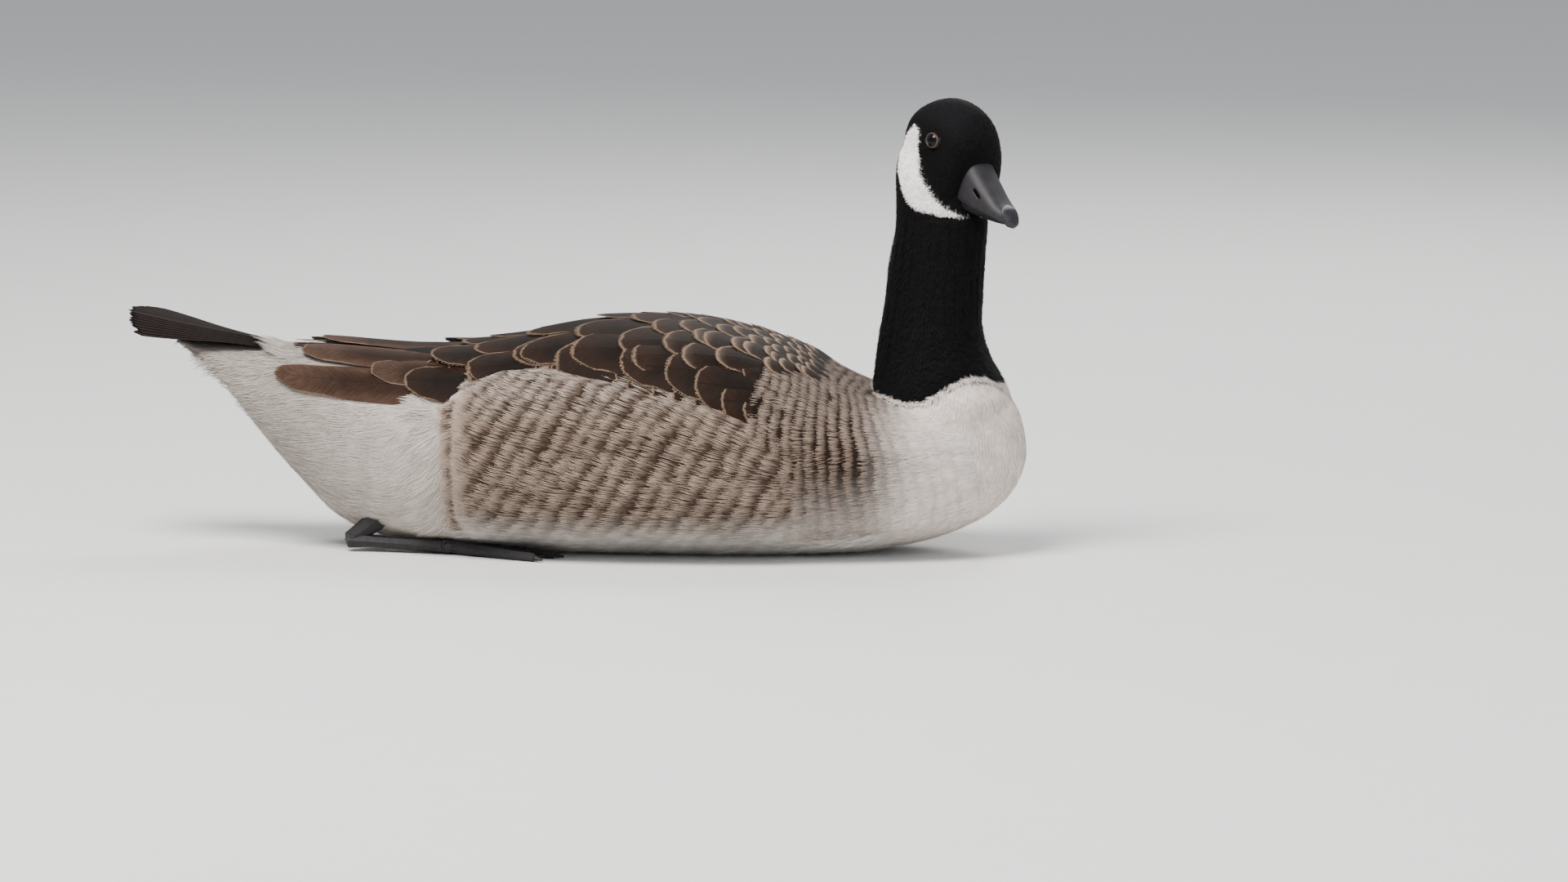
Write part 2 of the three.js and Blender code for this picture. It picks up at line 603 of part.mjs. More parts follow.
add("bill_nail", moved(mandible(true, 0).intersect(nailRoom(0)), headTurn), HORN);
add("eye_left", moved(eyeball(1, 0), headTurn), EYE);
add("eye_right", moved(eyeball(-1, 0), headTurn), EYE);

add("mantle", mantle().subtract(joined([bodyRoom, neckAbove])), BROWN);
addBoth("wing", wing(), BROWN, bodyRoom);
addBoth("flank", flank(), BARRED, bodyRoom);
add("tail", tail().subtract(bodyRoom), BLACK);

// Legs and feet, parted at the ankle
const ankle = TOE_ROOT.x - 6;
const rearOf = (x) => behind(new THREE.Vector3(x, 0, 0), AHEAD);
addBoth("leg", shank(0).intersect(rearOf(ankle)).subtract(ground), SKIN);
addBoth("foot", joined([webbedFoot(0), shank(0)]).subtract(joined([rearOf(ankle + GAP), ground])), SKIN);

export default goose;
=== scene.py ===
"""Looks of a life-size Canada goose: skin, feathers, bill, eyes, legs and a studio stage."""
import bpy
import numpy as np
from bpy.props import FloatProperty, FloatVectorProperty, PointerProperty
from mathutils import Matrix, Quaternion, Vector


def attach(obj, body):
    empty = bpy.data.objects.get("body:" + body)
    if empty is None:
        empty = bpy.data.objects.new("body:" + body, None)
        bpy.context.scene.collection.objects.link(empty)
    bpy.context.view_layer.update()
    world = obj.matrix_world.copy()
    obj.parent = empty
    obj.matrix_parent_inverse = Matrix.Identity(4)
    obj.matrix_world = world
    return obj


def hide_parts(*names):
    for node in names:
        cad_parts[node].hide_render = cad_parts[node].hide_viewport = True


bl_info = {
    "name": "Canada goose",
    "version": (1, 0, 0),
    "blender": (4, 5, 0),
    "location": "3D View > Sidebar > Goose",
    "description": "Dresses the packed solids of a resting Canada goose",
    "category": "Object",
}

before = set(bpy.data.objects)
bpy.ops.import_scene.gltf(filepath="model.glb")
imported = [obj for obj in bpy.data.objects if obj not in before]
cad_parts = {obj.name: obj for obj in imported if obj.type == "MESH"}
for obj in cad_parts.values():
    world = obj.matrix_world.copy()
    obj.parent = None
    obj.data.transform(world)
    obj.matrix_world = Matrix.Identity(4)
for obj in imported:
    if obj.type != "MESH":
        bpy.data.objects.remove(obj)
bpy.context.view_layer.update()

# Sizes in millimetres, in the frame of the solids: +X to the breast, +Y to the left, +Z up
MM = 0.001
ROUNDNESS = 0.87  # power of cosine and sine in the body's sections: 1 is an ellipse, less is fuller
HEAD_AT = np.array([279, 0, 305])  # between the eyes
HEAD_YAW = np.radians(46)  # turned to the bird's right
HEAD_PITCH = np.radians(23)  # tipped down
EYE_RADIUS = 7.6
EYE_APART = 43
EYE_AHEAD = 1.5
EYE_FACING = np.array([0.1, 0.97, 0.2])  # forward, left and up from between the eyes
EYE_RING = 6.1  # nearest that a feather grows to the eye's line of sight
NOSTRIL_AT = (48, -20)  # forward and up from between the eyes
NOSTRIL_RUN = (0.91, -0.42)  # the way its slit runs, forward and up
FLANK_DEPTH = 7.5
FLANK_REAR = -80
FLANK_LOW = -46  # degrees up the side
HEAD_LINE = 258  # height where the feathers of head and neck meet
NECK_LINE = 172  # height where the two pieces of the neck's feathers meet
BREAST_LINE = 232  # place along the body where the feathers of breast and belly meet
BELLY_END = -84  # rear end of the belly's feathers
REAR_START = -70  # front end of the rear's feathers, which overlap the belly's
SKIN_GRAIN = 2.8  # between the points of the skin
NORMAL_ROUNDS = 4  # of smoothing, for the skin's normals
BEND_ROUNDS = 6  # of smoothing, for its bend
ROOT_TRIES = 7  # random places for each cell of the lattice of roots
ROOT_OFF = 0.62  # farthest that a root lies from the middle of its cell, in cells
BARB_SPACING = 0.7  # between the barbs that show on large feathers
VANE_THICKNESS = 0.35
RIM_STRANDS = 64  # loose barbs round the tip of a large feather
SUNK = -0.6  # how far the roots of large feathers lie under the skin
MOST_BEND = 0.06  # sharpest curve of the skin that a small feather follows, per millimetre
TAIL_ROOT = -235
TAIL_FEATHERS = 18
TAIL_ROLL = np.tan(np.radians(8))  # slope across the tail

# Body sections from under the tail to the breast, evenly numbered
TRUNK = {
    "x": [-306, -299, -284, -262, -236, -208, -176, -138, -94, -45, 8,
          60, 110, 156, 195, 228, 257, 283, 305, 323, 331],
    "top": [150, 152, 151, 149, 148.5, 149, 149, 148, 147.5, 154, 166,
            169.5, 165, 151.5, 133, 121, 121.5, 126, 126, 110, 76],
    "bottom": [150, 146.5, 138, 119, 84, 51, 20, 5, 0.5, -2, -3, -3, -3, -2, 0, 3.5, 9, 18, 30, 49, 76],
    "width": [0, 12, 26, 38, 46, 55, 65, 76.5, 89, 100, 108,
              110, 107.5, 102, 96.5, 88, 77, 62.5, 45.5, 25, 0],
    "widest": [150, 149, 146, 133, 114, 101, 93, 87, 80, 76, 75.5, 76, 76, 77, 78, 79, 79.5, 79, 78, 77, 76],
}

# Neck sections from inside the breast up into the head
NECK = {
    "x": [262, 264, 266.7, 265.2, 261.5, 260, 262, 264, 267, 267, 265, 262, 261.5],
    "y": [0, 0, 0, 0, 0, 0, 0, 0, 0, 2, 7, 13, 16],
    "z": [84, 100, 117, 130, 145, 165, 190, 215, 238, 260, 282, 299, 311],
    "depth": [50, 52, 51.5, 47, 42, 37.5, 36, 35.2, 34, 34, 32.5, 25, 14],
    "width": [60, 63, 59, 50, 41, 35, 32, 30.5, 30, 30, 27, 20, 11],
}

# Head sections from nape to bill, along the line of the mouth and up from between the eyes
HEAD = {
    "f": [-44, -40, -32, -20, -5, 9, 20, 27, 32, 34],
    "top": [-5, 6, 15, 23.5, 28, 28.5, 24.5, 15.5, 4, -14],
    "bottom": [-5, -17, -31, -42, -47, -48, -47.5, -46, -42, -14],
    "width": [0, 15, 23, 27, 27.5, 27.5, 27.5, 26.5, 19.5, 0],
    "widest": [-5, -8, -12, -15, -20, -26, -29, -29, -25, -14],
}

# Bill sections from inside the head to the tip
BILL = {
    "f": [22, 30, 40, 49, 58, 66, 73, 78, 80.5],
    "culmen": [4, 0.5, -6.5, -12, -16.3, -19.3, -21, -24, -28],
    "mouth": [-32.5, -32.5, -32, -31.3, -30.2, -29.2, -28.8, -29, -29.4],
    "chin": [-41, -41, -39.5, -38, -36.2, -34.5, -33, -31.8, -31.2],
    "width": [15, 15.5, 14.8, 13.6, 12.4, 11.4, 9.6, 6.2, 0],
}

# Edges of mantle and flank: place along the body and degrees up the side
MANTLE_EDGE = np.array([[-95, 70], [-62, 66], [-30, 58], [10, 48], [50, 46], [90, 46], [130, 49], [165, 55],
                        [205, 63]])
FLANK_EDGE = np.array([[-88, 18], [-80, 34], [-66, 44], [-45, 50], [-15, 47], [29, 36], [66, 28.5],
                       [113, 24], [150, 14.5], [168, 4], [177, -9], [181, -24]])

# Lower edge of the black neck over the pale breast: place along the body and height
BLACK_EDGE = np.array([[212, 300], [218, 135], [223, 122], [235, 121], [249, 118], [261, 120], [269, 125],
                       [277, 130.5], [288, 135], [300, 135], [312, 128], [320, 119], [335, 112]])

# White patch of cheek and throat in profile: forward and up from between the eyes
CHEEK = np.array([[-22, 2], [-14, 0], [-2, -18], [7, -25.5], [21, -33], [31, -38], [41, -41.5],
                  [33, -44], [18, -45], [4, -42.5], [-5, -37.5], [-18, -30.5], [-27, -24], [-28, -13]])


# Small maths on whole arrays

def mix(a, b, s):
    """a at s 0 to b at s 1, in a straight line."""
    return a + (b - a) * s


def smooth(low, high, value):
    """0 below low and 1 above high, with a soft S between them."""
    s = np.clip((value - low) / (high - low), 0, 1)
    return s * s * (3 - 2 * s)


def power(value, exponent):
    """The size of value raised to exponent, with its sign kept."""
    return np.sign(value) * np.abs(value) ** exponent


def unit(vector):
    """Each vector divided by its own length."""
    return vector / np.maximum(np.linalg.norm(vector, axis=-1, keepdims=True), 1e-9)


def dot(a, b):
    """The dot product of each pair of vectors, kept as a last axis of one."""
    return (a * b).sum(-1, keepdims=True)


def stack(*parts):
    """Numbers of any shapes that fit together, as vectors along a last axis."""
    return np.stack(np.broadcast_arrays(*parts), axis=-1)


def deep(values):
    """One value or vector for each feather, shaped to meet its barbs, its rows and their two edges."""
    return values[:, None, None, None]


def circle(step):
    """Cosines and sines of one turn in steps of so many degrees, each as one row."""
    turn = np.radians(np.arange(0, 360, step))[None]
    return np.cos(turn), np.sin(turn)


def along(values, t, is_mirrored=False):
    """A Catmull-Rom curve through evenly numbered values. Its ends go straight on, or turn back
    where they are mirrored, so that a row of sections closes as a round dome."""
    values = np.asarray(values, float)
    last = len(values) - 1
    i = np.clip(np.floor(t).astype(int), 0, last - 1)
    s = np.clip(t - i, 0, 1)
    b, c = values[i], values[i + 1]
    a = np.where(i > 0, values[np.maximum(i - 1, 0)], c if is_mirrored else 2 * b - c)
    d = np.where(i < last - 1, values[np.minimum(i + 2, last)], b if is_mirrored else 2 * c - b)
    return b + 0.5 * s * (c - a + s * (2 * a - 5 * b + 4 * c - d + s * (3 * b - a - 3 * c + d)))


def table(pairs, x):
    """The value at x on the straight lines through a table of places and values."""
    return np.interp(x, pairs[:, 0], pairs[:, 1])


def waves(p, size, seed=0):
    """Soft noise from -1 to 1 without a texture: the mean of six sine waves of about that size,
    each along its own direction."""
    rng = np.random.default_rng(seed)
    turn = unit(rng.normal(size=(6, p.shape[-1])))
    phase = rng.uniform(0, 6.28, 6)
    return np.sin(p @ turn.T * (6.28 / size) * rng.uniform(0.7, 1.4, 6) + phase).mean(-1) * 1.6


# Shape of body, neck and head

def fold(angle):
    """An angle round the body, brought to the left side: -90 belly, 0 side, 90 back."""
    angle = (angle + 180) % 360 - 180
    return np.where(angle > 90, 180 - angle, np.where(angle < -90, -180 - angle, angle))


def heights(sections, t, s):
    """The widest height of the section at t, and its reach from there: up where s is over 0, else down."""
    middle = along(sections["widest"], t)
    up, down = along(sections["top"], t) - middle, middle - along(sections["bottom"], t)
    return middle, np.where(s > 0, up, down)


def trunk_skin(t, angle):
    """The section at t: a superellipse round its widest height, with its own reach up and down."""
    c, s = np.cos(np.radians(angle)), np.sin(np.radians(angle))
    middle, reach = heights(TRUNK, t, s)
    return stack(along(TRUNK["x"], t, True), along(TRUNK["width"], t) * power(c, ROUNDNESS),
                 middle + reach * power(s, ROUNDNESS))


def trunk(t, angle, lift):
    """The point that lies lift outside the trunk, along the cross product of its two tangents."""
    around = trunk_skin(t, angle + 1) - trunk_skin(t, angle - 1)
    forward = trunk_skin(t + 0.05, angle) - trunk_skin(t - 0.05, angle)
    return trunk_skin(t, angle) + unit(np.cross(around, forward)) * np.asarray(lift)[..., None]


SECTIONS = np.linspace(0, len(TRUNK["x"]) - 1, 2001)
SECTION_X = along(TRUNK["x"], SECTIONS, True)


def over_body(x, angle, lift):
    """The point over the place x and angle of the body."""
    return trunk(np.interp(x, SECTION_X, SECTIONS), angle, lift)


def per_degree(x, angle):
    """Millimetres of skin in one degree round the body."""
    return np.linalg.norm(over_body(x, angle + 1, 0 * x) - over_body(x, angle, 0 * x), axis=-1)


def padding(x, angle, flank_depth=FLANK_DEPTH):
    """How far the skin stands out from the bare trunk: a full flank that ends in a soft edge over the
    wing and at the rear, and a low step for the folded wing and the back. Feathers that go under the
    flank take a flank_depth of 0."""
    side = fold(angle)
    edge = table(FLANK_EDGE, x)
    flank = smooth(0, 7, edge - side) * smooth(-88, -78, x) * (1 - smooth(125, 186, x))
    flank = flank * smooth(-62, -22, side)
    wing = smooth(-4, 3, side - edge) * smooth(-128, -108, x) * (1 - smooth(170, 204, x))
    return flank_depth * flank + 1.6 * wing


HEAD_AXES = np.array([
    [np.cos(HEAD_PITCH) * np.cos(HEAD_YAW), -np.cos(HEAD_PITCH) * np.sin(HEAD_YAW), -np.sin(HEAD_PITCH)],
    [np.sin(HEAD_YAW), np.cos(HEAD_YAW), 0],
    [np.sin(HEAD_PITCH) * np.cos(HEAD_YAW), -np.sin(HEAD_PITCH) * np.sin(HEAD_YAW), np.cos(HEAD_PITCH)],
])


def from_head(p):
    """Forward, left and up from between the eyes, as a place in the row frame."""
    return p @ HEAD_AXES + HEAD_AT


def to_head(p):
    """A place in the row frame as forward, left and up from between the eyes."""
    return (p - HEAD_AT) @ HEAD_AXES.T


# Meshes

def above_floor(points, clearance):
    """The points, none of them lower than clearance over the floor."""
    points[..., 2] = np.maximum(points[..., 2], clearance)
    return points


def mesh_object(name, points, faces, material, **layers):
    """A mesh from whole arrays: points in millimetres, and face arrays of any number of sides. Layers
    are named colours of four numbers, vectors of three, or corner maps of two."""
    mesh = bpy.data.meshes.new(name)
    points = points.reshape(-1, 3)
    corners = np.concatenate([f.ravel() for f in faces]).astype(np.int32)
    sizes = np.concatenate([np.full(len(f), f.shape[1]) for f in faces])
    mesh.vertices.add(len(points))
    mesh.vertices.foreach_set("co", (points * MM).astype(np.float32).ravel())
    mesh.loops.add(len(corners))
    mesh.loops.foreach_set("vertex_index", corners)
    mesh.polygons.add(len(sizes))
    mesh.polygons.foreach_set("loop_start", (np.cumsum(sizes) - sizes).astype(np.int32))
    mesh.update(calc_edges=True)
    mesh.polygons.foreach_set("use_smooth", np.ones(len(sizes), bool))
    for key, values in layers.items():
        numbers = values.shape[-1]
        values = values.reshape(-1, numbers).astype(np.float32)
        if numbers == 2:
            mesh.uv_layers.new(name=key).data.foreach_set("uv", values[corners].ravel())
        else:
            kind, field = {3: ("FLOAT_VECTOR", "vector"), 4: ("FLOAT_COLOR", "color")}[numbers]
            mesh.attributes.new(key, kind, "POINT").data.foreach_set(field, values.ravel())
    mesh.materials.append(material)
    made = bpy.data.objects.new(name, mesh)
    bpy.context.scene.collection.objects.link(made)
    return made


def piece(made, slot, *nodes):
    """Fixes a finished object to the body and hides the solids that it stands for."""
    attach(made, "root")
    if nodes:
        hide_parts(*nodes)
    return made


def shell_faces(rows, around):
    """Faces of a closed skin: one pole point, rows of points round an axis, and one more pole."""
    ring = np.arange(around)
    after = (ring + 1) % around
    start = 1 + np.arange(rows - 1)[:, None] * around
    a, b = start + ring, start + after
    sides = stack(a, b, b + around, a + around).reshape(-1, 4)
    end = 1 + (rows - 1) * around
    first = stack(0 * ring, after + 1, ring + 1)
    last = stack(end + around + 0 * ring, end + ring, end + after)
    return [sides, first, last]


def shell(grid):
    """Points and faces of a closed skin from a grid of rows and turns. Its first and its last row each
    shrink to their middle."""
    points = np.concatenate([grid[0].mean(0)[None], grid[1:-1].reshape(-1, 3), grid[-1].mean(0)[None]])
    return points, shell_faces(len(grid) - 2, grid.shape[1])


def joined(parts):
    """Several sets of points and faces as one."""
    shift = np.cumsum([0] + [len(p) for p, _ in parts])
    faces = [f + shift[k] for k, (_, all_faces) in enumerate(parts) for f in all_faces]
    return np.concatenate([p for p, _ in parts]), faces


def vane_faces(count, across, long):
    """Faces of count vanes of across by long cells, which turn outwards where the first side lies on the
    left of the way that the feather points."""
    wide = across + 1
    a = (np.arange(long)[:, None] * wide + np.arange(across)).ravel()
    start = np.arange(count)[:, None, None] * (wide * (long + 1))
    return (stack(a, a + 1, a + wide + 1, a + wide) + start).reshape(-1, 4)


def facing(faces, side):
    """Faces of a left piece, turned round where side is -1 and mirrors it to the right."""
    return [each[:, ::-1] for each in faces] if side < 0 else faces


# Colours

def linear(text):
    """An sRGB hex colour as three linear numbers."""
    values = np.array([int(text[k:k + 2], 16) for k in (1, 3, 5)]) / 255
    return np.where(values <= 0.04045, values / 12.92, ((values + 0.055) / 1.055) ** 2.4)


COLOURS = {
    "neck": ("Neck", "Black of head and neck", "#050405"),
    # The crown colour is the black of head and neck made a little lighter: painted sheen of the light from
    # above
    "crown": ("Crown", "Black of the crown, a little browner", "#0d0b0e"),
    "cheek": ("Cheek", "White patch of cheek and throat", "#f6f1ec"),
    "breast": ("Breast", "Pale front of the breast", "#e4d8cf"),
    "side_dark": ("Side, base", "Base of the feathers beside the breast", "#241811"),
    "side_pale": ("Side, tip", "Tip of the feathers beside the breast", "#968272"),
    "flank_dark": ("Flank, base", "Base of the side feathers", "#36281f"),
    "flank_pale": ("Flank, tip", "Tip of the side feathers", "#b8a392"),
    "belly": ("Belly", "Whitish belly", "#dcd7d1"),
    "vent": ("Rear", "White under the tail", "#c4bab1"),
    # The colour under the tail is painted shade: the white rear greyed where it lies in shadow below the
    # tail
    "under_tail": ("Under the tail", "Greyer white below the tail", "#928981"),
    "back": ("Back", "Dark middle of the back feathers", "#120a05"),
    "back_light": ("Back, side", "Paler sides of the back feathers", "#22150d"),
    "back_rim": ("Back, rim", "Worn pale rim of the back feathers", "#846f5d"),
    "tertial": ("Tertials", "Long inner feathers of the wing", "#3f2e25"),
    "primary": ("Primaries", "Tips of the flight feathers", "#100b09"),
    "tail": ("Tail", "Blackish tail feathers", "#19110f"),
    "bill": ("Bill", "Dark horn of the bill", "#1d1b1e"),
    "nail": ("Nail", "Nail at the tip of the bill", "#1d1c20"),
    "lid": ("Lids", "Bare skin round the eye", "#352c27"),
    "iris": ("Iris", "Dark brown iris", "#120a07"),
    "foot": ("Feet", "Blackish skin of legs and webs", "#191719"),
    "floor": ("Floor", "Pale studio floor", "#dcdcda"),
}


def colour(key):
    """A colour of the panel as a linear array of three."""
    return np.array(getattr(bpy.context.scene.goose_colours, key))


def blend_colours(p, weights):
    """Colours laid over one another in order, each with its own weight per point."""
    total = np.zeros((len(p), 3))
    for key, weight in weights:
        total = mix(total, colour(key)[None], np.broadcast_to(weight, len(p))[:, None])
    return total


def in_outline(points, outline):
    """Signed distance of 2-D points to a closed outline, below zero inside."""
    a, b = outline, np.roll(outline, -1, axis=0)
    edge = b - a
    offset = points[:, None] - a[None]
    share = np.clip((offset * edge).sum(-1) / (edge * edge).sum(-1), 0, 1)
    reach = np.linalg.norm(offset - edge[None] * share[..., None], axis=-1).min(1)
    crosses = ((a[:, 1] > points[:, None, 1]) != (b[:, 1] > points[:, None, 1]))
    at = a[:, 0] + (points[:, None, 1] - a[:, 1]) * edge[:, 0] / np.where(edge[:, 1] == 0, 1e-9, edge[:, 1])
    inside = (crosses & (points[:, None, 0] < at)).sum(1) % 2 == 1
    return np.where(inside, -reach, reach)


def markings(p):
    """Base and tip colour of the small feathers at each place. Black neck over pale breast, white cheek,
    brown sides, whitish belly and white rear, with edges that wander by a millimetre or two. The black is
    lighter over the crown, a painted sheen of the light from above, and the white greys towards the tail,
    painted shade under it."""
    x, y, z = p.T
    h = to_head(p)
    angle = fold(np.degrees(np.arctan2(z - np.interp(x, SECTION_X, along(TRUNK["widest"], SECTIONS)), y)))
    wander = waves(p, 9, 3)
    black = smooth(-0.6, 0.6, z - table(BLACK_EDGE, x) + 0.8 * wander)
    cheek = smooth(0.6, -0.6, in_outline(h[:, [0, 2]], CHEEK) + 0.4 * wander) * (z > 235)
    rear = smooth(-74, -84, x + 2 * wander)
    below = smooth(-30, -52, angle + 6 * wander) * smooth(262, 215, x)
    side = smooth(268, 205, x + 10 * wander) * (1 - below)
    flank = smooth(185, 150, x) * (1 - below)
    back = smooth(-5, 5, angle - table(FLANK_EDGE, x)) * smooth(214, 196, x)
    # Painted shade: the white rear greys towards the tail and under it
    under_tail = 0.6 * smooth(-120, -205, x) + 0.3 * smooth(-230, -290, x)
    # The black grows lighter up over the crown: painted sheen of the light from above
    dark = blend_colours(p, [("neck", 1), ("crown", smooth(0, 16, h[:, 2]) * (z > 290))])

    def laid(side_key, side_share, flank_key, back_key):
        tone = blend_colours(p, [("breast", 1), (side_key, side_share * side), (flank_key, flank),
                                 ("belly", below), (back_key, back), ("vent", rear),
                                 ("under_tail", rear * under_tail)])
        return mix(mix(tone, dark, black[:, None]), colour("cheek")[None], cheek[:, None])

    return laid("side_dark", 0.75, "flank_dark", "back"), laid("side_pale", 0.8, "flank_pale", "back_light")


def rgba(tone):
    """Three numbers of colour with a fourth that is always one."""
    return np.concatenate([tone, np.ones(tone.shape[:-1] + (1,))], -1)


# Materials

def plug(tree, made, inputs):
    """Sets the sockets of a node to values, or links them to outputs of other nodes."""
    for key, value in inputs.items():
        if isinstance(value, bpy.types.NodeSocket):
            tree.links.new(value, made.inputs[key])
        else:
            made.inputs[key].default_value = value


def node(tree, kind, inputs=None, **settings):
    """Adds a node with its settings and inputs."""
    made = tree.nodes.new("ShaderNode" + kind)
    for key, value in settings.items():
        setattr(made, key, value)
    plug(tree, made, inputs or {})
    return made


def new_material(name):
    """An empty material with its tree and its surface shader joined to the output."""
    made = bpy.data.materials.new(name)
    made.use_nodes = True
    tree = made.node_tree
    tree.nodes.clear()
    shader = node(tree, "BsdfPrincipled")
    node(tree, "OutputMaterial", {"Surface": shader.outputs[0]})
    return made, tree, shader


def speckle(tree, size, detail=3.0):
    """Noise on the piece's own place in space, with blobs of about size millimetres."""
    place = node(tree, "TexCoord").outputs["Object"]
    return node(tree, "TexNoise", {"Vector": place, "Scale": 1 / (size * MM), "Detail": detail,
                                   "Roughness": 0.55}).outputs["Fac"]


def mesh_layer(tree, name, output="Color"):
    """A layer of the mesh."""
    return node(tree, "Attribute", attribute_name=name).outputs[output]


def calc(tree, operation, a, b=0.0, c=0.0):
    """One step of arithmetic on numbers or sockets."""
    return node(tree, "Math", {0: a, 1: b, 2: c}, operation=operation).outputs[0]


def product(tree, total, *factors):
    """All the numbers or sockets multiplied."""
    for factor in factors:
        total = calc(tree, "MULTIPLY", total, factor)
    return total


def ramp(tree, value, low, high, first=0.0, second=1.0):
    """first where value is under low, second where it is over high, with a soft step between."""
    return node(tree, "MapRange", {"Value": value, "From Min": low, "From Max": high, "To Min": first,
                                   "To Max": second}, interpolation_type="SMOOTHSTEP").outputs["Result"]


def tinted(tree, factor, a, b, mode="MIX"):
    """Two colours, each three numbers or a socket, mixed by a factor."""
    a, b = (part if isinstance(part, bpy.types.NodeSocket) else (*part, 1) for part in (a, b))
    return node(tree, "Mix", {0: factor, 6: a, 7: b}, data_type="RGBA", blend_type=mode).outputs[2]


def dimmed(tree, tone, shade):
    """A colour multiplied by one number."""
    grey = node(tree, "CombineXYZ", {0: shade, 1: shade, 2: shade}).outputs[0]
    return node(tree, "VectorMath", {0: tone, 1: grey}, operation="MULTIPLY").outputs[0]


def relief(tree, height, strength, depth):
    """A normal that shows fine relief of a depth in millimetres."""
    return node(tree, "Bump", {"Height": height, "Strength": strength, "Distance": depth * MM}).outputs[0]


def small_feathers(name, roughness, sheen, mottle):
    """Body feathers of soft keratin barbs that don't hook together, so the coat looks like a matt velvet
    with a faint silky edge. Its colour is laid on each feather, and a fine mottle of 1.5 mm breaks it up
    as parted barbs do."""
    made, tree, shader = new_material(name)
    fine = speckle(tree, 1.5)
    clouds = ramp(tree, speckle(tree, 14), 0.25, 0.75, 0.92, 1.08)
    shade = product(tree, calc(tree, "MULTIPLY_ADD", fine, mottle, 1 - 0.5 * mottle), clouds)
    plug(tree, shader, {"Base Color": dimmed(tree, mesh_layer(tree, "tint"), shade), "Roughness": roughness,
                        "Sheen Weight": sheen, "Sheen Roughness": 0.45, "Specular IOR Level": 0.12,
                        "Normal": relief(tree, fine, 0.35, 0.6)})
    return made


def vane_feathers(name, rim, rim_width, roughness, gloss=0.08):
    """Contour and flight feathers: hooked barbs of keratin that leave the shaft at a slant, wider apart here
    than in life so that they show, with a worn pale rim. The barbs give fine silky lines, the shaft a thin
    ridge."""
    made, tree, shader = new_material(name)
    side, run, edge = node(tree, "SeparateXYZ", {0: mesh_layer(tree, "vane", "Vector")}).outputs
    fine = speckle(tree, 2.2)
    wide = speckle(tree, 9)
    wavy = calc(tree, "MULTIPLY_ADD", wide, 5.0, product(tree, run, 6.283 / BARB_SPACING))
    lines = calc(tree, "MULTIPLY_ADD", calc(tree, "SINE", wavy), 0.5, 0.5)
    grain = node(tree, "CombineXYZ", {0: product(tree, run, 0.9), 1: product(tree, side, 0.12)}).outputs[0]
    streak = node(tree, "TexNoise", {"Vector": grain, "Scale": 1.0, "Detail": 2.0}).outputs["Fac"]
    shaft = ramp(tree, side, 0.25, 0.6, 1.0, 0.0)
    shade = product(tree, calc(tree, "MULTIPLY_ADD", lines, -0.12, 1.06),
                    ramp(tree, streak, 0.3, 0.7, 0.72, 1.28), ramp(tree, wide, 0.3, 0.7, 0.88, 1.12),
                    calc(tree, "MULTIPLY_ADD", shaft, -0.3, 1.0))
    worn = calc(tree, "MULTIPLY_ADD", calc(tree, "SUBTRACT", streak, 0.5), 4.0, edge)
    worn = calc(tree, "MULTIPLY_ADD", calc(tree, "SUBTRACT", fine, 0.5), 2.0, worn)
    pale = ramp(tree, worn, 0.0, 2.4 * rim_width, 0.7, 0.0)
    height = calc(tree, "ADD", product(tree, lines, 0.5), product(tree, shaft, 1.5))
    lit = dimmed(tree, mesh_layer(tree, "tint"), shade)
    plug(tree, shader, {"Base Color": tinted(tree, pale, lit, rim), "Roughness": roughness,
                        "Specular IOR Level": gloss, "Normal": relief(tree, height, 0.4, 0.25)})
    return made


def horn(name, tone, pale, roughness):
    """Bill sheath of living keratin over bone: smooth dark horn with a low gloss, faint growth clouds and
    fine wrinkles of 0.8 mm."""
    made, tree, shader = new_material(name)
    cloudy = tinted(tree, ramp(tree, speckle(tree, 6), 0.35, 0.7, 0.0, 0.5), tone, pale)
    # The tint layer multiplies in painted shade on the bill: its nostril slit, its mouth edge and its lower
    # half; on the nail it is a paler band behind the nail
    horn_times_tint = tinted(tree, 1.0, cloudy, mesh_layer(tree, "tint"), "MULTIPLY")
    plug(tree, shader, {"Base Color": horn_times_tint, "Roughness": roughness, "Specular IOR Level": 0.32,
                        "IOR": 1.54, "Normal": relief(tree, speckle(tree, 0.8, 2.0), 0.25, 0.2)})
    return made


def eye_glass():
    """A moist eye: a dark brown iris round a black pupil under a clear wet layer, which gives one sharp
    highlight. The corner map runs from the pupil at 0 to the back of the eye at 1."""
    made, tree, shader = new_material("moist_eye")
    at = node(tree, "SeparateXYZ", {0: node(tree, "UVMap", uv_map="round").outputs[0]}).outputs[1]
    brown = tinted(tree, speckle(tree, 0.7), colour("iris") * 0.6, colour("iris") * 1.7)
    pupil = tinted(tree, ramp(tree, at, 0.115, 0.135), (0.002, 0.002, 0.002), brown)
    plug(tree, shader, {"Base Color": pupil, "Roughness": 0.3, "Specular IOR Level": 0.0, "Coat Weight": 1.0,
                        "Coat Roughness": 0.02, "Coat IOR": 1.24})
    return made


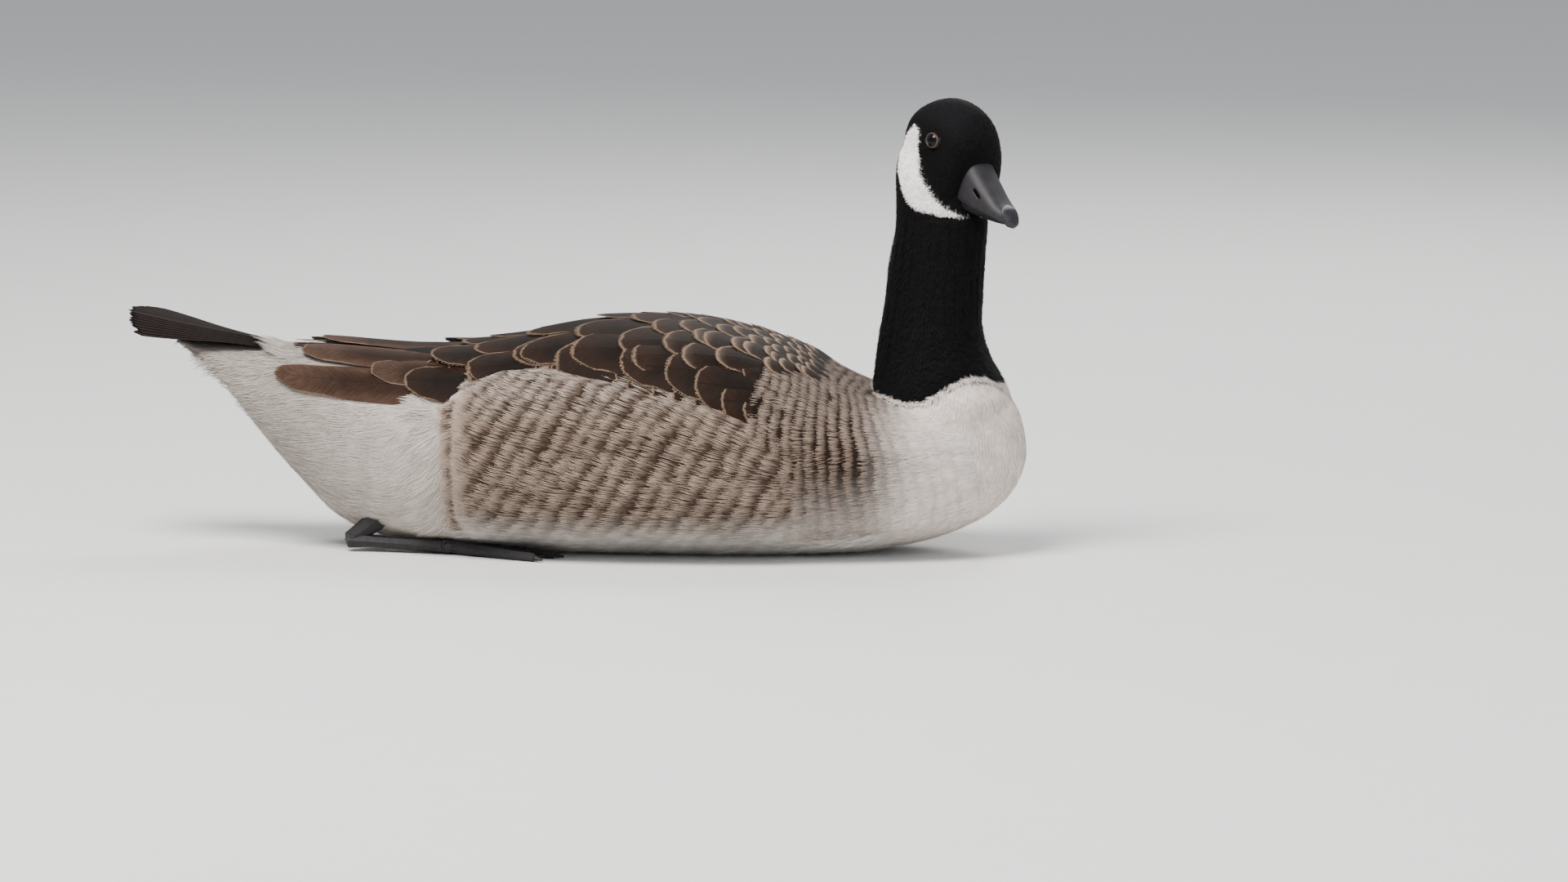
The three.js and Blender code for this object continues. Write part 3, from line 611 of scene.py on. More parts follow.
def bare_skin(name, tone, size, depth, roughness):
    """Bare skin with small scales: dark, slightly glossy cells of size millimetres with fine creases
    between them."""
    made, tree, shader = new_material(name)
    place = node(tree, "TexCoord").outputs["Object"]
    cells = node(tree, "TexVoronoi", {"Vector": place, "Scale": 1 / (size * MM)}, feature="DISTANCE_TO_EDGE")
    crease = ramp(tree, cells.outputs["Distance"], 0.0, 0.12)
    cloudy = tinted(tree, speckle(tree, 5 * size), tone * 0.7, tone * 1.5)
    plug(tree, shader, {"Base Color": tinted(tree, crease, tone * 0.4, cloudy), "Roughness": roughness,
                        "Specular IOR Level": 0.4, "Normal": relief(tree, crease, 0.6, depth)})
    return made


# Skin

def trunk_grid():
    """Rows of points from under the tail to the breast, on the trunk with its padding, less the depth of
    the coat, cut off flat where it rests on the ground."""
    t = np.linspace(0, len(TRUNK["x"]) - 1, 150)[:, None]
    angle = np.arange(0, 360, 3.0)[None]
    depth = bpy.context.scene.goose_sizes.coat_depth / MM
    return above_floor(trunk(t, angle, padding(along(TRUNK["x"], t, True), angle) - depth), 0.9)


def neck_grid():
    """Rows of ellipses round the neck's line, less the depth of the neck's coat."""
    t = np.linspace(0, len(NECK["x"]) - 1, 60)[:, None]
    c, s = circle(6)
    less = bpy.context.scene.goose_sizes.neck_depth / MM
    grid = stack(along(NECK["x"], t) + (along(NECK["depth"], t) - less) * c,
                 along(NECK["y"], t) + (along(NECK["width"], t) - less) * s, along(NECK["z"], t))
    return np.concatenate([grid[:1], grid, grid[-1:]])


def head_grid():
    """Superellipse sections from nape to bill round the widest height, each with its own reach up and
    down, less the depth of the head's coat."""
    t = np.linspace(0, len(HEAD["f"]) - 1, 80)[:, None]
    c, s = circle(6)
    less = bpy.context.scene.goose_sizes.head_depth / MM
    middle, reach = heights(HEAD, t, s)
    f = along(HEAD["f"], t, True)
    ends = less * np.sign(f) * smooth(20, 40, np.abs(f))
    width = along(HEAD["width"], t) - less
    return from_head(stack(f - ends, width * power(c, 0.9), middle + (reach - less) * power(s, 0.9)))


def triangles(mesh):
    """Points in millimetres and triangles of a mesh, as arrays."""
    points = np.empty(len(mesh.vertices) * 3, np.float32)
    mesh.vertices.foreach_get("co", points)
    mesh.calc_loop_triangles()
    corners = np.empty(len(mesh.loop_triangles) * 3, np.int32)
    mesh.loop_triangles.foreach_get("vertices", corners)
    return points.reshape(-1, 3) / MM, corners.reshape(-1, 3)


SKIN = {}


def measure_skin(mesh):
    """Keeps the skin's points, triangles, normals and bend. A normal is the sum of the cross products of
    the triangles round a point. The bend is a 3 by 3 array, the mean over the edges of the change of the
    normal times the edge over its length squared, so that flow times bend times flow is the curvature."""
    points, faces = triangles(mesh)
    a, b, c = (points[faces[:, k]] for k in range(3))
    cross = np.cross(b - a, c - a)
    normal = np.zeros_like(points)
    for k in range(3):
        np.add.at(normal, faces[:, k], cross)
    normal = unit(normal)
    edges = np.concatenate([faces[:, [0, 1]], faces[:, [1, 2]], faces[:, [2, 0]]])
    for _ in range(NORMAL_ROUNDS):
        total = normal.copy()
        np.add.at(total, edges[:, 0], normal[edges[:, 1]] * 0.5)
        normal = unit(total)
    run = points[edges[:, 1]] - points[edges[:, 0]]
    turn = normal[edges[:, 1]] - normal[edges[:, 0]]
    each = turn[:, :, None] * run[:, None, :] / np.maximum((run ** 2).sum(-1), 1e-6)[:, None, None]
    count = np.bincount(edges[:, 0], minlength=len(points))[:, None, None]
    bend = np.zeros((len(points), 3, 3))
    np.add.at(bend, edges[:, 0], each)
    bend = bend / count * 2
    for _ in range(BEND_ROUNDS):
        total = np.zeros_like(bend)
        np.add.at(total, edges[:, 0], bend[edges[:, 1]])
        bend = 0.5 * bend + 0.5 * total / count
    area = np.linalg.norm(cross, axis=-1) / 2
    SKIN.update(points=points, faces=faces, normal=normal, bend=bend, area=area)


def lie(p, n):
    """The way the coat lies: over the head from the bill to the nape, down the neck, out from its foot
    over the breast and on to the rear, always along the skin."""
    x, y, z = p.T[..., None]
    h = to_head(p)
    face = smooth(16, 34, h[:, :1])
    radial = unit(h * [0, 1, 1] + [0, 0, 20])
    on_head = (np.array([-1, 0, -0.25]) + face * radial * 0.9) @ HEAD_AXES
    on_neck = np.array([-0.05, 0, -1.0])
    front = smooth(205, 318, x)
    away = unit(stack(x[:, 0] - 255, y[:, 0], 0 * z[:, 0]))
    vent = smooth(-130, -105, x) * smooth(-60, -80, x) * smooth(110, 85, z)
    on_body = np.array([-1, 0, 0]) * (1 - 0.75 * front) + np.array([0, 0, -1.3]) * front
    on_body = on_body + 0.55 * front * away + np.array([0, 0, -0.75]) * vent
    flow = mix(on_body, on_neck, smooth(112, 135, z) * smooth(208, 222, x))
    flow = mix(flow, on_head, smooth(250, 276, z))
    return unit(flow - n * dot(flow, n))


def unwrap(p):
    """The skin laid out flat: the trunk by its angle and length below, neck and head by the turn round
    the neck and the height above."""
    x, y, z = p.T
    angle = np.arctan2(z - 80, y)
    turn = np.arctan2(y - 4, x - 268)
    upper = (z > 122) & (x > 210)
    u = np.where(upper, turn, angle) / 6.2832 + 0.5
    v = np.where(upper, 0.62 + (z - 110) / 240 * 0.37, 0.01 + (x + 310) / 645 * 0.58)
    return np.clip(stack(0.01 + 0.98 * u, v), 0.004, 0.996)


def roots(cell, weight, seed):
    """Even places on the skin: many random points on its triangles, of which each cell of a lattice
    keeps the one nearest to its middle."""
    rng = np.random.default_rng(seed)
    middle = SKIN["points"][SKIN["faces"]].mean(1)
    share = SKIN["area"] * (weight(middle) > 0)
    count = int(share.sum() / cell ** 2 * ROOT_TRIES)
    face = np.searchsorted(np.cumsum(share), rng.random(count) * share.sum())
    face = np.minimum(face, len(share) - 1)
    a, b = np.sqrt(rng.random((2, count, 1)))
    bary = np.concatenate([1 - a, a * (1 - b ** 2), a * b ** 2], 1)
    corners = SKIN["faces"][face]
    p = (SKIN["points"][corners] * bary[..., None]).sum(1)
    lattice = np.floor(p / cell).astype(np.int64)
    off = np.linalg.norm(p / cell - lattice - 0.5, axis=-1)
    key = (lattice * [1, 4096, 4096 ** 2]).sum(-1)
    order = np.lexsort((off, key))
    first = np.r_[True, np.diff(key[order]) != 0]
    kept = order[first & (off[order] < ROOT_OFF)]
    kept = kept[rng.random(len(kept)) < weight(p[kept])]
    corners, bary = corners[kept], bary[kept]
    normal = unit((SKIN["normal"][corners] * bary[..., None]).sum(1))
    bend = (SKIN["bend"][corners] * bary[..., None, None]).sum(1)
    return p[kept], normal, bend


def fringe(rng, length, width, strands, long, fullness=1.5, blunt=0.16, ragged=0.1, taper=0.5, loose=0.6):
    """Soft feathers as fans of barbs. A barb runs from the root to a tip that lies further back in the
    middle of the feather than at its sides, and narrows to a point. Returns how far each point lies to
    the side and to the back, and each barb's place across and each row's place along the feather."""
    size = (len(length), strands, 1, 1)
    length, width = deep(length), deep(width)
    across = np.linspace(-1, 1, strands)[None, :, None, None]
    v = np.linspace(0, 1, long + 1)[None, None, :, None]
    edge = np.array([-1, 1])
    fan = width / 2 * (0.4 + 0.6 * smooth(0, 0.6, v))
    half = width / strands / 2 * fullness * (1 - 0.85 * smooth(taper, 1, v))
    sway = width / strands * loose * rng.normal(0, 1, size) * v
    reach = length * (1 - blunt * across ** 2) * (1 + ragged * rng.uniform(-1, 1, size))
    return fan * across + half * edge + sway, reach * v + 0 * edge, across, v


def barb_tones(rng, base, tip, share, v, strands, low, high, shade, streak):
    """Colours of barbs: the base's to the share low of the length, the tip's from high, with each feather
    and each barb a little lighter or darker, and darker at the root, painted shade where others lie over it."""
    count = len(base)
    each = 1 + shade * rng.normal(0, 1, (count, 1, 1, 1)) + streak * rng.normal(0, 1, (count, strands, 1, 1))
    # Painted shade: each barb darker towards its root, where other feathers lie over it
    depth = mix(0.7, 1.06, v) * np.clip(each, 0.5, 1.6)
    return mix(deep(base), deep(tip), smooth(low, high, share)[..., None]) * depth[..., None]


def soft_piece(name, slot, material, points, tone, place, across, v, side=1, nodes=()):
    """A piece of soft feathers, mirrored to the right where side is -1. On the bake map each feather is a
    patch of 0.003 round its place on the skin."""
    count, strands, rows = points.shape[:3]
    faces = facing([vane_faces(count * strands, 1, rows - 1)], side)
    patch = deep(unwrap(place)) + 0.003 * stack(across / 2 + 0 * points[..., 0], v - 0.5)
    return piece(mesh_object(name, points, faces, material, tint=rgba(tone), OFBake=patch), slot, *nodes)


def coat(name, cell, where, length, width, material, slot, seed, strands=4, long=2, rise=1.1, spread=9,
         shade=0.08, streak=0.12, fullness=1.5, furrow=None):
    """A coat of small feathers on the skin. A point of a barb is its root, plus flow times the way back,
    plus side times the way across, less the fall of the skin's own bend, plus a rise to the tip. A furrow
    function gives each root more or less height over the skin."""
    rng = np.random.default_rng(seed)
    p, n, bend = roots(cell, where, seed)
    count = len(p)
    flow = lie(p, n)
    side = np.cross(flow, n)
    swing = np.radians(rng.normal(0, spread, (count, 1)))
    flow, side = flow * np.cos(swing) + side * np.sin(swing), side * np.cos(swing) - flow * np.sin(swing)
    size = rng.uniform(0.82, 1.18, count)
    far_length = length(p) * size
    out, back, across, v = fringe(rng, far_length, width(p) * size, strands, long, fullness, ragged=0.12)
    each = rng.uniform(0.4, 1.4, (count, strands, 1, 1)) * v ** 1.3
    each = each * (0.6 + 0.4 * rng.random((count, 1, 1, 1)))
    up = rise * (each - 0.2) - 0.04 * np.abs(out)
    if furrow:
        up = up + deep(furrow(p))
    for axis, way in ((flow, back), (side, out)):
        curve = np.clip((axis[:, None] @ bend @ axis[:, :, None])[:, 0, 0], -MOST_BEND, MOST_BEND)
        up = up - deep(curve) * way ** 2 / 2
    points = deep(p) + sum(deep(axis) * way[..., None] for axis, way in ((flow, back), (side, out), (n, up)))
    tone = barb_tones(rng, *markings(p), back / deep(far_length), v, strands, 0.35, 0.85, shade, streak)
    return soft_piece(name, slot, material, above_floor(points, 0.15), tone, p, across, v)


# Large feathers, placed one by one

ACROSS = np.array([-1, -0.97, -0.88, -0.7, -0.45, -0.2, 0, 0.2, 0.45, 0.7, 0.88, 0.97, 1])
LONG = np.array([0, 0.2, 0.38, 0.52, 0.64, 0.74, 0.83, 0.9, 0.95, 0.98, 1])


def outline(u, v, length, width, blunt, fine):
    """The flat shape of a feather at u across and v along: half width times u, which swells from the
    root and narrows at the tip, and the way back from the root, which is less at the sides of the tip."""
    half = width / 2 * (0.45 + 0.55 * smooth(0, 0.45, v)) * (1 - fine * smooth(0.6, 1, v))
    return half * u, length * v - blunt * width * np.abs(u) ** 2.6 * smooth(0.25, 1, v)


def vane(length, width, blunt=0.3, fine=0.12, seed=1):
    """Whole feathers with round, slightly torn tips. Returns u, v, side, back and the distance to the
    outline in millimetres, which counts at the sides only near the tip."""
    rng = np.random.default_rng(seed)
    length, width = length[:, None, None], width[:, None, None]
    u, v = ACROSS[None, None], LONG[None, :, None]
    side, back = outline(u, v, length, width, blunt, fine)
    back = back + 0.016 * length * rng.uniform(-1, 1, (len(length), 1, len(ACROSS))) * smooth(0.6, 1, v)
    to_side = width / 2 * (1 - np.abs(u)) + 5 * smooth(0.82, 0.55, v)
    return u, v, side, back, np.minimum(to_side, length * (1 - v) * 1.1 + 0 * u)


def placed(x, angle, slant, back, side, lift, flank_depth=0.0):
    """Points of feathers that start at x and angle and run to the rear, slanted downwards by slant
    degrees, at back and side millimetres along and across them and lift over the padded skin."""
    x, angle, slant = (part.reshape((-1,) + (1,) * (back.ndim - 1)) for part in (x, angle, slant))
    c, s = np.cos(np.radians(slant)), np.sin(np.radians(slant))
    px = x - back * c - side * s
    pa = angle + (side * c - back * s) / per_degree(x, angle)
    return over_body(px, pa, padding(px, pa, flank_depth) + lift)


def body_vanes(x, angle, length, width, slant, tip, camber, blunt=0.3, seed=1, root=SUNK):
    """Feathers of back and wing: each starts at x and angle, runs to the rear under the edge of the flank,
    and rises from its root to its tip. Returns points, vane layer, and the places across and along."""
    x, angle, length, width, slant, tip = np.broadcast_arrays(x, angle, length, width, slant, tip)
    u, v, side, back, rim = vane(length, width, blunt, seed=seed)
    points = placed(x, angle, slant, back, side, mix(root, tip[:, None, None], v) - camber * u * u)
    return points, stack(np.abs(side), back - np.abs(side) * 0.9, rim), u + 0 * v, v + 0 * u


def rim_barbs(x, angle, length, width, slant, tip, camber, blunt, seed):
    """Loose barbs round the tips of the same feathers. They start 3 mm inside the outline, lean away
    from the shaft and end a millimetre or so outside it. Returns points of strands by rows by two."""
    x, angle, length, width, slant, tip = np.broadcast_arrays(x, angle, length, width, slant, tip)
    rng = np.random.default_rng(seed)
    count = len(x)
    place = np.linspace(-1.6, 1.6, RIM_STRANDS) + rng.uniform(-0.02, 0.02, (count, RIM_STRANDS))
    place = place[..., None, None]
    u, v = np.clip(place, -1, 1), 1 - 0.45 * np.maximum(np.abs(place) - 1, 0)
    length, width, tip = deep(length), deep(width), deep(tip)
    side, back = outline(u, v, length, width, blunt, 0.12)
    s = np.array([0, 0.55, 1])[:, None]
    edge = np.array([-1, 1])
    lean = np.radians(8 + 34 * np.abs(u) + rng.normal(0, 6, u.shape)) * np.sign(u)
    reach = mix(-0.09 * width - 0.5, rng.uniform(0.1, 0.8, u.shape) + 0.012 * width, s)
    half = width * 0.019 * (1 - 0.85 * s) * edge
    back = back + reach * np.cos(lean) - half * np.sin(lean)
    side = side + reach * np.sin(lean) + half * np.cos(lean)
    lift = mix(SUNK, tip, back / length) - camber * np.minimum(np.abs(2 * side / width), 1.1) ** 2 + 0.15
    return placed(x, angle, slant, back, side, lift)


def bake_cells(count, u, v):
    """A cell of the bake map for each feather, in rows of cells, with u and v from 0 to 1 inside it."""
    columns = int(np.ceil(np.sqrt(count)))
    k = np.arange(count).reshape((-1,) + (1,) * (u.ndim - 1))
    return stack((k % columns + 0.05 + 0.9 * u) / columns, (k // columns + 0.05 + 0.9 * v) / columns)


def barb_piece(name, points, base, tip, seed, material, side=1):
    """The loose barbs of large feathers, dark at their roots and pale at their tips, as one piece."""
    count, strands, rows = points.shape[:3]
    v = np.linspace(0, 1, rows)[:, None] + np.zeros((count, strands, 1, 2))
    rng = np.random.default_rng(seed)
    tone = barb_tones(rng, base, mix(base, tip, 0.72), v, v, strands, 0.1, 0.9, 0.06, 0.22)
    bake = bake_cells(count, np.linspace(0, 1, strands)[None, :, None, None], v)
    faces = facing([vane_faces(count * strands, 1, rows - 1)], side)
    made = mesh_object(name, points * [1, side, 1], faces, material, tint=rgba(tone), OFBake=bake)
    return piece(made, "back_feathers")


def feather_piece(name, groups, material, slot, side=1, nodes=()):
    """One piece from groups of feathers. Each group is points, vane layer and colours. Side -1 mirrors a
    left piece to the right."""
    points, vanes, tint = (np.concatenate(part) for part in zip(*groups))
    count, long, across = points.shape[:3]
    bake = bake_cells(count, (ACROSS[None, None] + 1) / 2, LONG[None, :, None])
    points = above_floor(points * [1, side, 1], 0.3)
    faces = facing([vane_faces(count, across - 1, long - 1)], side)
    made = mesh_object(name, points, faces, material, tint=rgba(tint), vane=vanes, OFBake=bake)
    wall = made.modifiers.new("vane", "SOLIDIFY")
    wall.thickness = VANE_THICKNESS * MM
    wall.offset = -1
    return piece(made, slot, *nodes)


def toned(points, dark, pale, u, v, spread, seed):
    """Colours of feathers: dark in the middle, paler towards the sides and the tip, each feather a little
    lighter or darker than the next."""
    rng = np.random.default_rng(seed)
    each = np.clip(1 + spread * rng.normal(0, 1, (len(points), 1, 1, 1)), 0.6, 1.5)
    out = smooth(0.25, 1, np.maximum(np.abs(u), smooth(0.4, 1, v) * 0.9))[..., None]
    return mix(colour(dark), colour(pale), out) * each + 0 * points


# Tips of the rows of back feathers from the rear to the neck, with length and width
BACK_ROWS = np.array([
    [-92, 64, 44], [-66, 70, 48], [-34, 76, 52], [4, 84, 54], [40, 78, 52], [58, 66, 45], [74, 58, 40],
    [90, 52, 36], [104, 46, 32], [117, 42, 28], [128, 38, 24], [138, 34, 21], [147, 31, 19], [155, 28, 17],
    [163, 26, 15], [170, 24, 14],
])


def back_feathers():
    """Rows of rounded feathers over the back, large scapulars at the rear and small ones towards the neck.
    Each row spans from one edge of the mantle over the back to the other, and every second row is
    shifted by half a feather."""
    rng = np.random.default_rng(11)
    xs, angles, lengths, widths = [], [], [], []
    for k, (tip, length, width) in enumerate(BACK_ROWS):
        x = tip + length
        edge = table(MANTLE_EDGE, np.array([min(x, 200)]))[0] - 1
        degree = per_degree(np.array([min(x, 205.0)]), np.array([70.0]))[0]
        count = max(4, int(2 * (90 - edge) * degree / (0.74 * width)))
        place = (np.arange(count) + 0.5 * (k % 2)) / (count - 0.5) * 2 - 1
        xs.append(x - 8 * place ** 2 * (length > 40) + rng.normal(0, 0.045 * length, count))
        angles.append(90 + place * (90 - edge - 0.2 * width / degree))
        lengths.append(np.full(count, length) * rng.uniform(0.93, 1.07, count))
        widths.append(np.full(count, width) * rng.uniform(0.92, 1.08, count))
    x, angle, length, width = (np.concatenate(part) for part in (xs, angles, lengths, widths))
    out = (90 - angle) / 45
    slant = 7 * out + rng.normal(0, 3, len(x))
    shape = dict(slant=slant, tip=1.9 + 0.01 * length, camber=1.5, blunt=0.36, seed=12)
    points, vanes, u, v = body_vanes(x, angle, length, width, **shape)
    tint = toned(points, "back", "back_light", u, v, 0.1, 13)
    ahead = smooth(115, 185, x)[:, None, None]
    tint = mix(tint, colour("side_pale"), (0.6 * ahead * smooth(0.84, 1, v - 0.1 * u * u))[..., None])
    rim = vane_feathers("back_feather_keratin", colour("back_rim"), 1.3, 0.62)
    feather_piece("back_feathers", [(points, vanes, tint)], rim, "back_feathers", nodes=["mantle"])
    front = smooth(110, 200, x)[:, None]
    loose = small_feathers("loose_back_feather_barbs", 0.8, 0.0, 0.16)
    barb_piece("back_barbs", rim_barbs(x, angle, length, width, **shape), colour("back_light") + 0 * front,
               mix(colour("back_rim"), colour("side_pale"), front), 14, loose)


# Large feathers of a folded wing: tip, degrees up the side, length, width, height of the tip over the
# wing, and slant downwards in degrees
PRIMARIES = np.array([[-211, 80, 126, 17, 0.8, 0], [-203, 76, 117, 17, 0.8, 0], [-194, 72, 106, 17, 0.8, 0],
                      [-186, 68, 96, 17, 0.8, 0]])
TERTIALS = np.array([[-217, 40, 150, 38, 3.0, 5], [-190, 87, 112, 36, 4.6, 0], [-201, 64, 127, 42, 3.8, -1],
                     [-146, 50, 90, 36, 2.8, 2]])
SCAPULARS = np.array([[132, 25, 26, 26, 1.0, 2], [117, 30, 50, 36, 1.4, 5], [97, 36, 60, 42, 1.9, 4],
                      [75, 41, 66, 47, 2.3, 2], [42, 46, 74, 50, 2.7, 0], [5, 52, 80, 51, 3.1, -2],
                      [-34, 58, 74, 46, 3.3, -3], [-120, 42, 62, 38, 3.2, 2], [-72, 50, 66, 42, 3.5, -3],
                      [-104, 66, 66, 40, 4.6, 1]])


# The same feathers with the height of their arch, how blunt they are, and the colours of middle, side, rim
WING_ROWS = (
    (PRIMARIES, 0.5, 0.5, "primary", "primary", "primary"),
    (TERTIALS, 1.8, 0.42, "back_light", "tertial", "tertial"),
    (SCAPULARS, 1.6, 0.38, "back", "back_light", "back_rim"),
)


def wing_feathers(seed):
    """A folded left wing between back and flank: rows of rounded coverts, long tertials over the rump, and
    the darker tips of the primaries above them."""
    rng = np.random.default_rng(seed)
    row = np.arange(-66, 166, 15.0)
    share = np.array([0.15, 0.5, 0.85])
    x, up = (a.ravel() for a in np.meshgrid(row, share, indexing="ij"))
    x = x + rng.normal(0, 1.6, len(x)) + 6 * up
    angle, grown = mix(table(FLANK_EDGE, x), table(MANTLE_EDGE, x), up), smooth(120, 0, x)
    points, vanes, u, v = body_vanes(x, angle, 34 + 6 * grown, 24 + 8 * grown, slant=-2, root=-1.6, tip=0.4,
                                     camber=0.8, seed=seed)
    groups = [(points, vanes, toned(points, "back", "back_light", u, v, 0.12, seed + 1))]
    barbs, rims = [], []
    for k, (rows, camber, blunt, dark, pale, rim) in enumerate(WING_ROWS):
        x, angle, length, width, tip, slant = rows.T
        x = x + length + rng.normal(0, 1, len(x))
        slant = slant + rng.normal(0, 1, len(x))
        shape = dict(slant=slant, tip=tip, camber=camber, blunt=blunt, seed=seed + 2 + k)
        points, vanes, u, v = body_vanes(x, angle, length, width, **shape)
        groups.append((points, vanes, toned(points, dark, pale, u, v, 0.06, seed + 6 + k)))
        barbs.append(rim_barbs(x, angle, length, width, **shape))
        rims.append(np.repeat(colour(rim)[None], len(x), 0))
    return groups, np.concatenate(barbs), np.concatenate(rims)


def deck(x, y, lift):
    """The tail's surface: it rises to the rear, is a little arched and rolls to the right."""
    rise = mix(148.5, 168.5, (TAIL_ROOT - x) / 98)
    roll = TAIL_ROLL * y * smooth(-240, -320, x)
    return stack(x, y, rise + roll - 0.0022 * y * y + lift)


def tail_feathers():
    """Eighteen stiff feathers in a narrow fan, the middle ones on top, each rounded at its tip."""
    rng = np.random.default_rng(31)
    place = np.linspace(-1, 1, TAIL_FEATHERS)
    length = 102 - 11 * place ** 2 + rng.uniform(-1.2, 1.2, TAIL_FEATHERS)
    u, v, side, back, rim = vane(length, np.full(TAIL_FEATHERS, 15.0), 0.4, 0.1, 32)
    place = place[:, None, None]
    x = -232 - back
    y = place * mix(20, 36, back / length[:, None, None]) + side
    lift = 2.6 - 2.4 * np.abs(place) + 0.8 * u * np.sign(place) - 0.4 * u * u
    points = deck(x, y, lift + 0 * v)
    tint = toned(points, "tail", "tail", u + 0 * v, v + 0 * u, 0.08, 33)
    return points, stack(np.abs(side), back - np.abs(side) * 0.7, rim), tint


def tail_coverts(material):
    """White feathers over the root of the tail, soft as the rump's, in rows from the rump to the rear. The
    last rows narrow to a point over the middle of the tail."""
    rng = np.random.default_rng(41)
    row, place = np.meshgrid(np.arange(9.0), np.linspace(-1, 1, 15), indexing="ij")
    row, place = row.ravel(), place.ravel()
    count, strands = len(row), 10
    length = rng.uniform(26, 32, count)
    out, back, across, v = fringe(rng, length, rng.uniform(9, 12, count), strands, 3, 0.9)
    row, place = deep(row), deep(place + rng.normal(0, 0.04, count))
    x = -160 - 6 * row - back + 9 * (np.abs(place) - 0.5) * smooth(4, 8, row)
    y = place * mix(25, 27.5, row / 8) + out
    rise = rng.uniform(0.8, 1.2, (count, strands, 1, 1)) * v
    lift = 1.0 + 2.6 * smooth(-212, -236, x) + 1.4 * rise - 2.6 * place ** 2 - 0.04 * np.abs(out)
    points = deck(x, y, lift)
    white = np.repeat(colour("vent")[None], count, 0)
    tone = barb_tones(rng, white * 0.94, white, v + 0 * back, v, strands, 0, 1, 0.02, 0.05)
    place = deck(x, y, 0 * x)[:, 0, 0, 0]
    return soft_piece("tail_coverts", "white_feathers", material, points, tone, place, across, v)


def fringed_feathers(name, side, seed, material, x, angle, length, width, slant, tones, tip, strands, long,
                     low, high, ragged, nodes=()):
    """Soft feathers placed by x and angle on the body: fans of barbs that run to the rear over the padded
    skin, slanted by slant degrees. Side -1 mirrors them to the right."""
    rng = np.random.default_rng(seed)
    count = len(x)
    out, back, across, v = fringe(rng, length, width, strands, long, 0.75, 0.05, ragged, 0.5, 0.75)
    rise = deep(tip) * rng.uniform(0.8, 1.2, (count, strands, 1, 1))
    lift = mix(-0.7, rise, v ** 1.2) - 0.04 * np.abs(out)
    points = above_floor(placed(x, angle, slant, back, out, lift, FLANK_DEPTH) * [1, side, 1], 0.2)
    tone = barb_tones(rng, *tones, back / deep(length), v, strands, low, high, 0.06, 0.07)
    place = over_body(x, angle, 0 * x) * [1, side, 1]
    return soft_piece(name, "side_feathers", material, points, tone, place, across, v, side, nodes)


def flank_hem(angle):
    """Where the hem at the rear of the flank is rooted: its place along the body by degrees up the side."""
    return FLANK_REAR + 27 + 0.003 * (angle - 5) ** 2


def flank_feathers(name, side, seed, material):
    """Side feathers in slanted rows whose pale tips line up as bars. A row leans forwards by about 1 mm
    for each degree up the side. The feathers sweep up to the rear at the top and down at the belly."""
    rng = np.random.default_rng(seed)
    row, step = np.meshgrid(np.arange(-215, 205, 15.0), np.arange(-54, 54, 1.5), indexing="ij")
    angle = (step + rng.normal(0, 0.5, step.shape)).ravel()
    height = angle - FLANK_LOW
    x = (row + 3.5 * waves(stack(row, step), 46, 5) + rng.normal(0, 0.7, row.shape)).ravel()
    x = x + 0.95 * height + 0.0028 * height ** 2
    kept = (x > flank_hem(angle) + 4) & (x < 200) & (angle < table(FLANK_EDGE, x - 18) - 1)
    ends = np.repeat(np.arange(-50, 40, 1.2), 2)
    x = np.concatenate([x[kept], flank_hem(ends) + rng.uniform(-0.5, 5, len(ends))])
    angle = np.concatenate([angle[kept], ends])
    count = len(x)
    slant = mix(-4, -21, smooth(-40, 30, angle)) + rng.normal(0, 4, count)
    low, high = smooth(-22, -50, angle)[:, None], 0.45 * smooth(5, 40, angle)[:, None]
    tones = [mix(colour("flank_dark"), colour("belly"), 0.7 * low),
             mix(mix(colour("flank_pale"), colour("breast"), high), colour("belly"), 0.8 * low)]
    fringed_feathers(name, side, seed, material, x, angle, rng.uniform(27, 30, count),
                     rng.uniform(9, 12, count), slant, tones, rng.uniform(0.5, 0.85, count), strands=14,
                     long=4, low=0.68, high=0.9, ragged=0.08, nodes=[name.replace("feathers_", "")])


def side_feathers(name, side, seed, material):
    """Feathers between breast and wing in rows that fan out downwards from the shoulder, dark with pale
    tips that line up, and paler towards the breast and the belly."""
    rng = np.random.default_rng(seed)
    row, step = np.meshgrid(np.arange(-5, 12), np.arange(-46, 91, 1.5), indexing="ij")
    angle = (step + rng.normal(0, 0.5, step.shape)).ravel()
    open_out = smooth(75, -20, angle)
    x = (row + rng.normal(0, 0.06, row.shape)).ravel() * mix(6.2, 9.4, open_out) + 196
    x = x + 2.0 * waves(stack(x, angle), 40, 6)
    top = np.where(x > 232, 66, 91)
    bulge = table(FLANK_EDGE, x - 20)
    kept = (angle < top) & ((x > 178) | ((angle < 54) & (angle > bulge - 8)))
    x, angle = x[kept], angle[kept]
    count = len(x)
    front = smooth(190, 275, x)
    fade = np.clip(smooth(222, 280, x) + 0.4 * smooth(0, -40, angle), 0, 0.94)[:, None]
    high = smooth(-10, 40, angle)[:, None]
    pale = mix(colour("side_pale"), colour("breast"), 0.12 * high)
    tones = [mix(tone, colour("breast"), fade) for tone in (colour("side_dark"), pale)]
    length = mix(19, 15, front) * rng.uniform(0.92, 1.08, count)
    slant = rng.normal(2, 4, count)
    fringed_feathers(name, side, seed, material, x, angle, length, mix(7.5, 6.5, front), slant, tones,
                     mix(1.0, 0.4, front), strands=10, long=3, low=0.8, high=0.94, ragged=0.05)


# Bill, eyes and lids

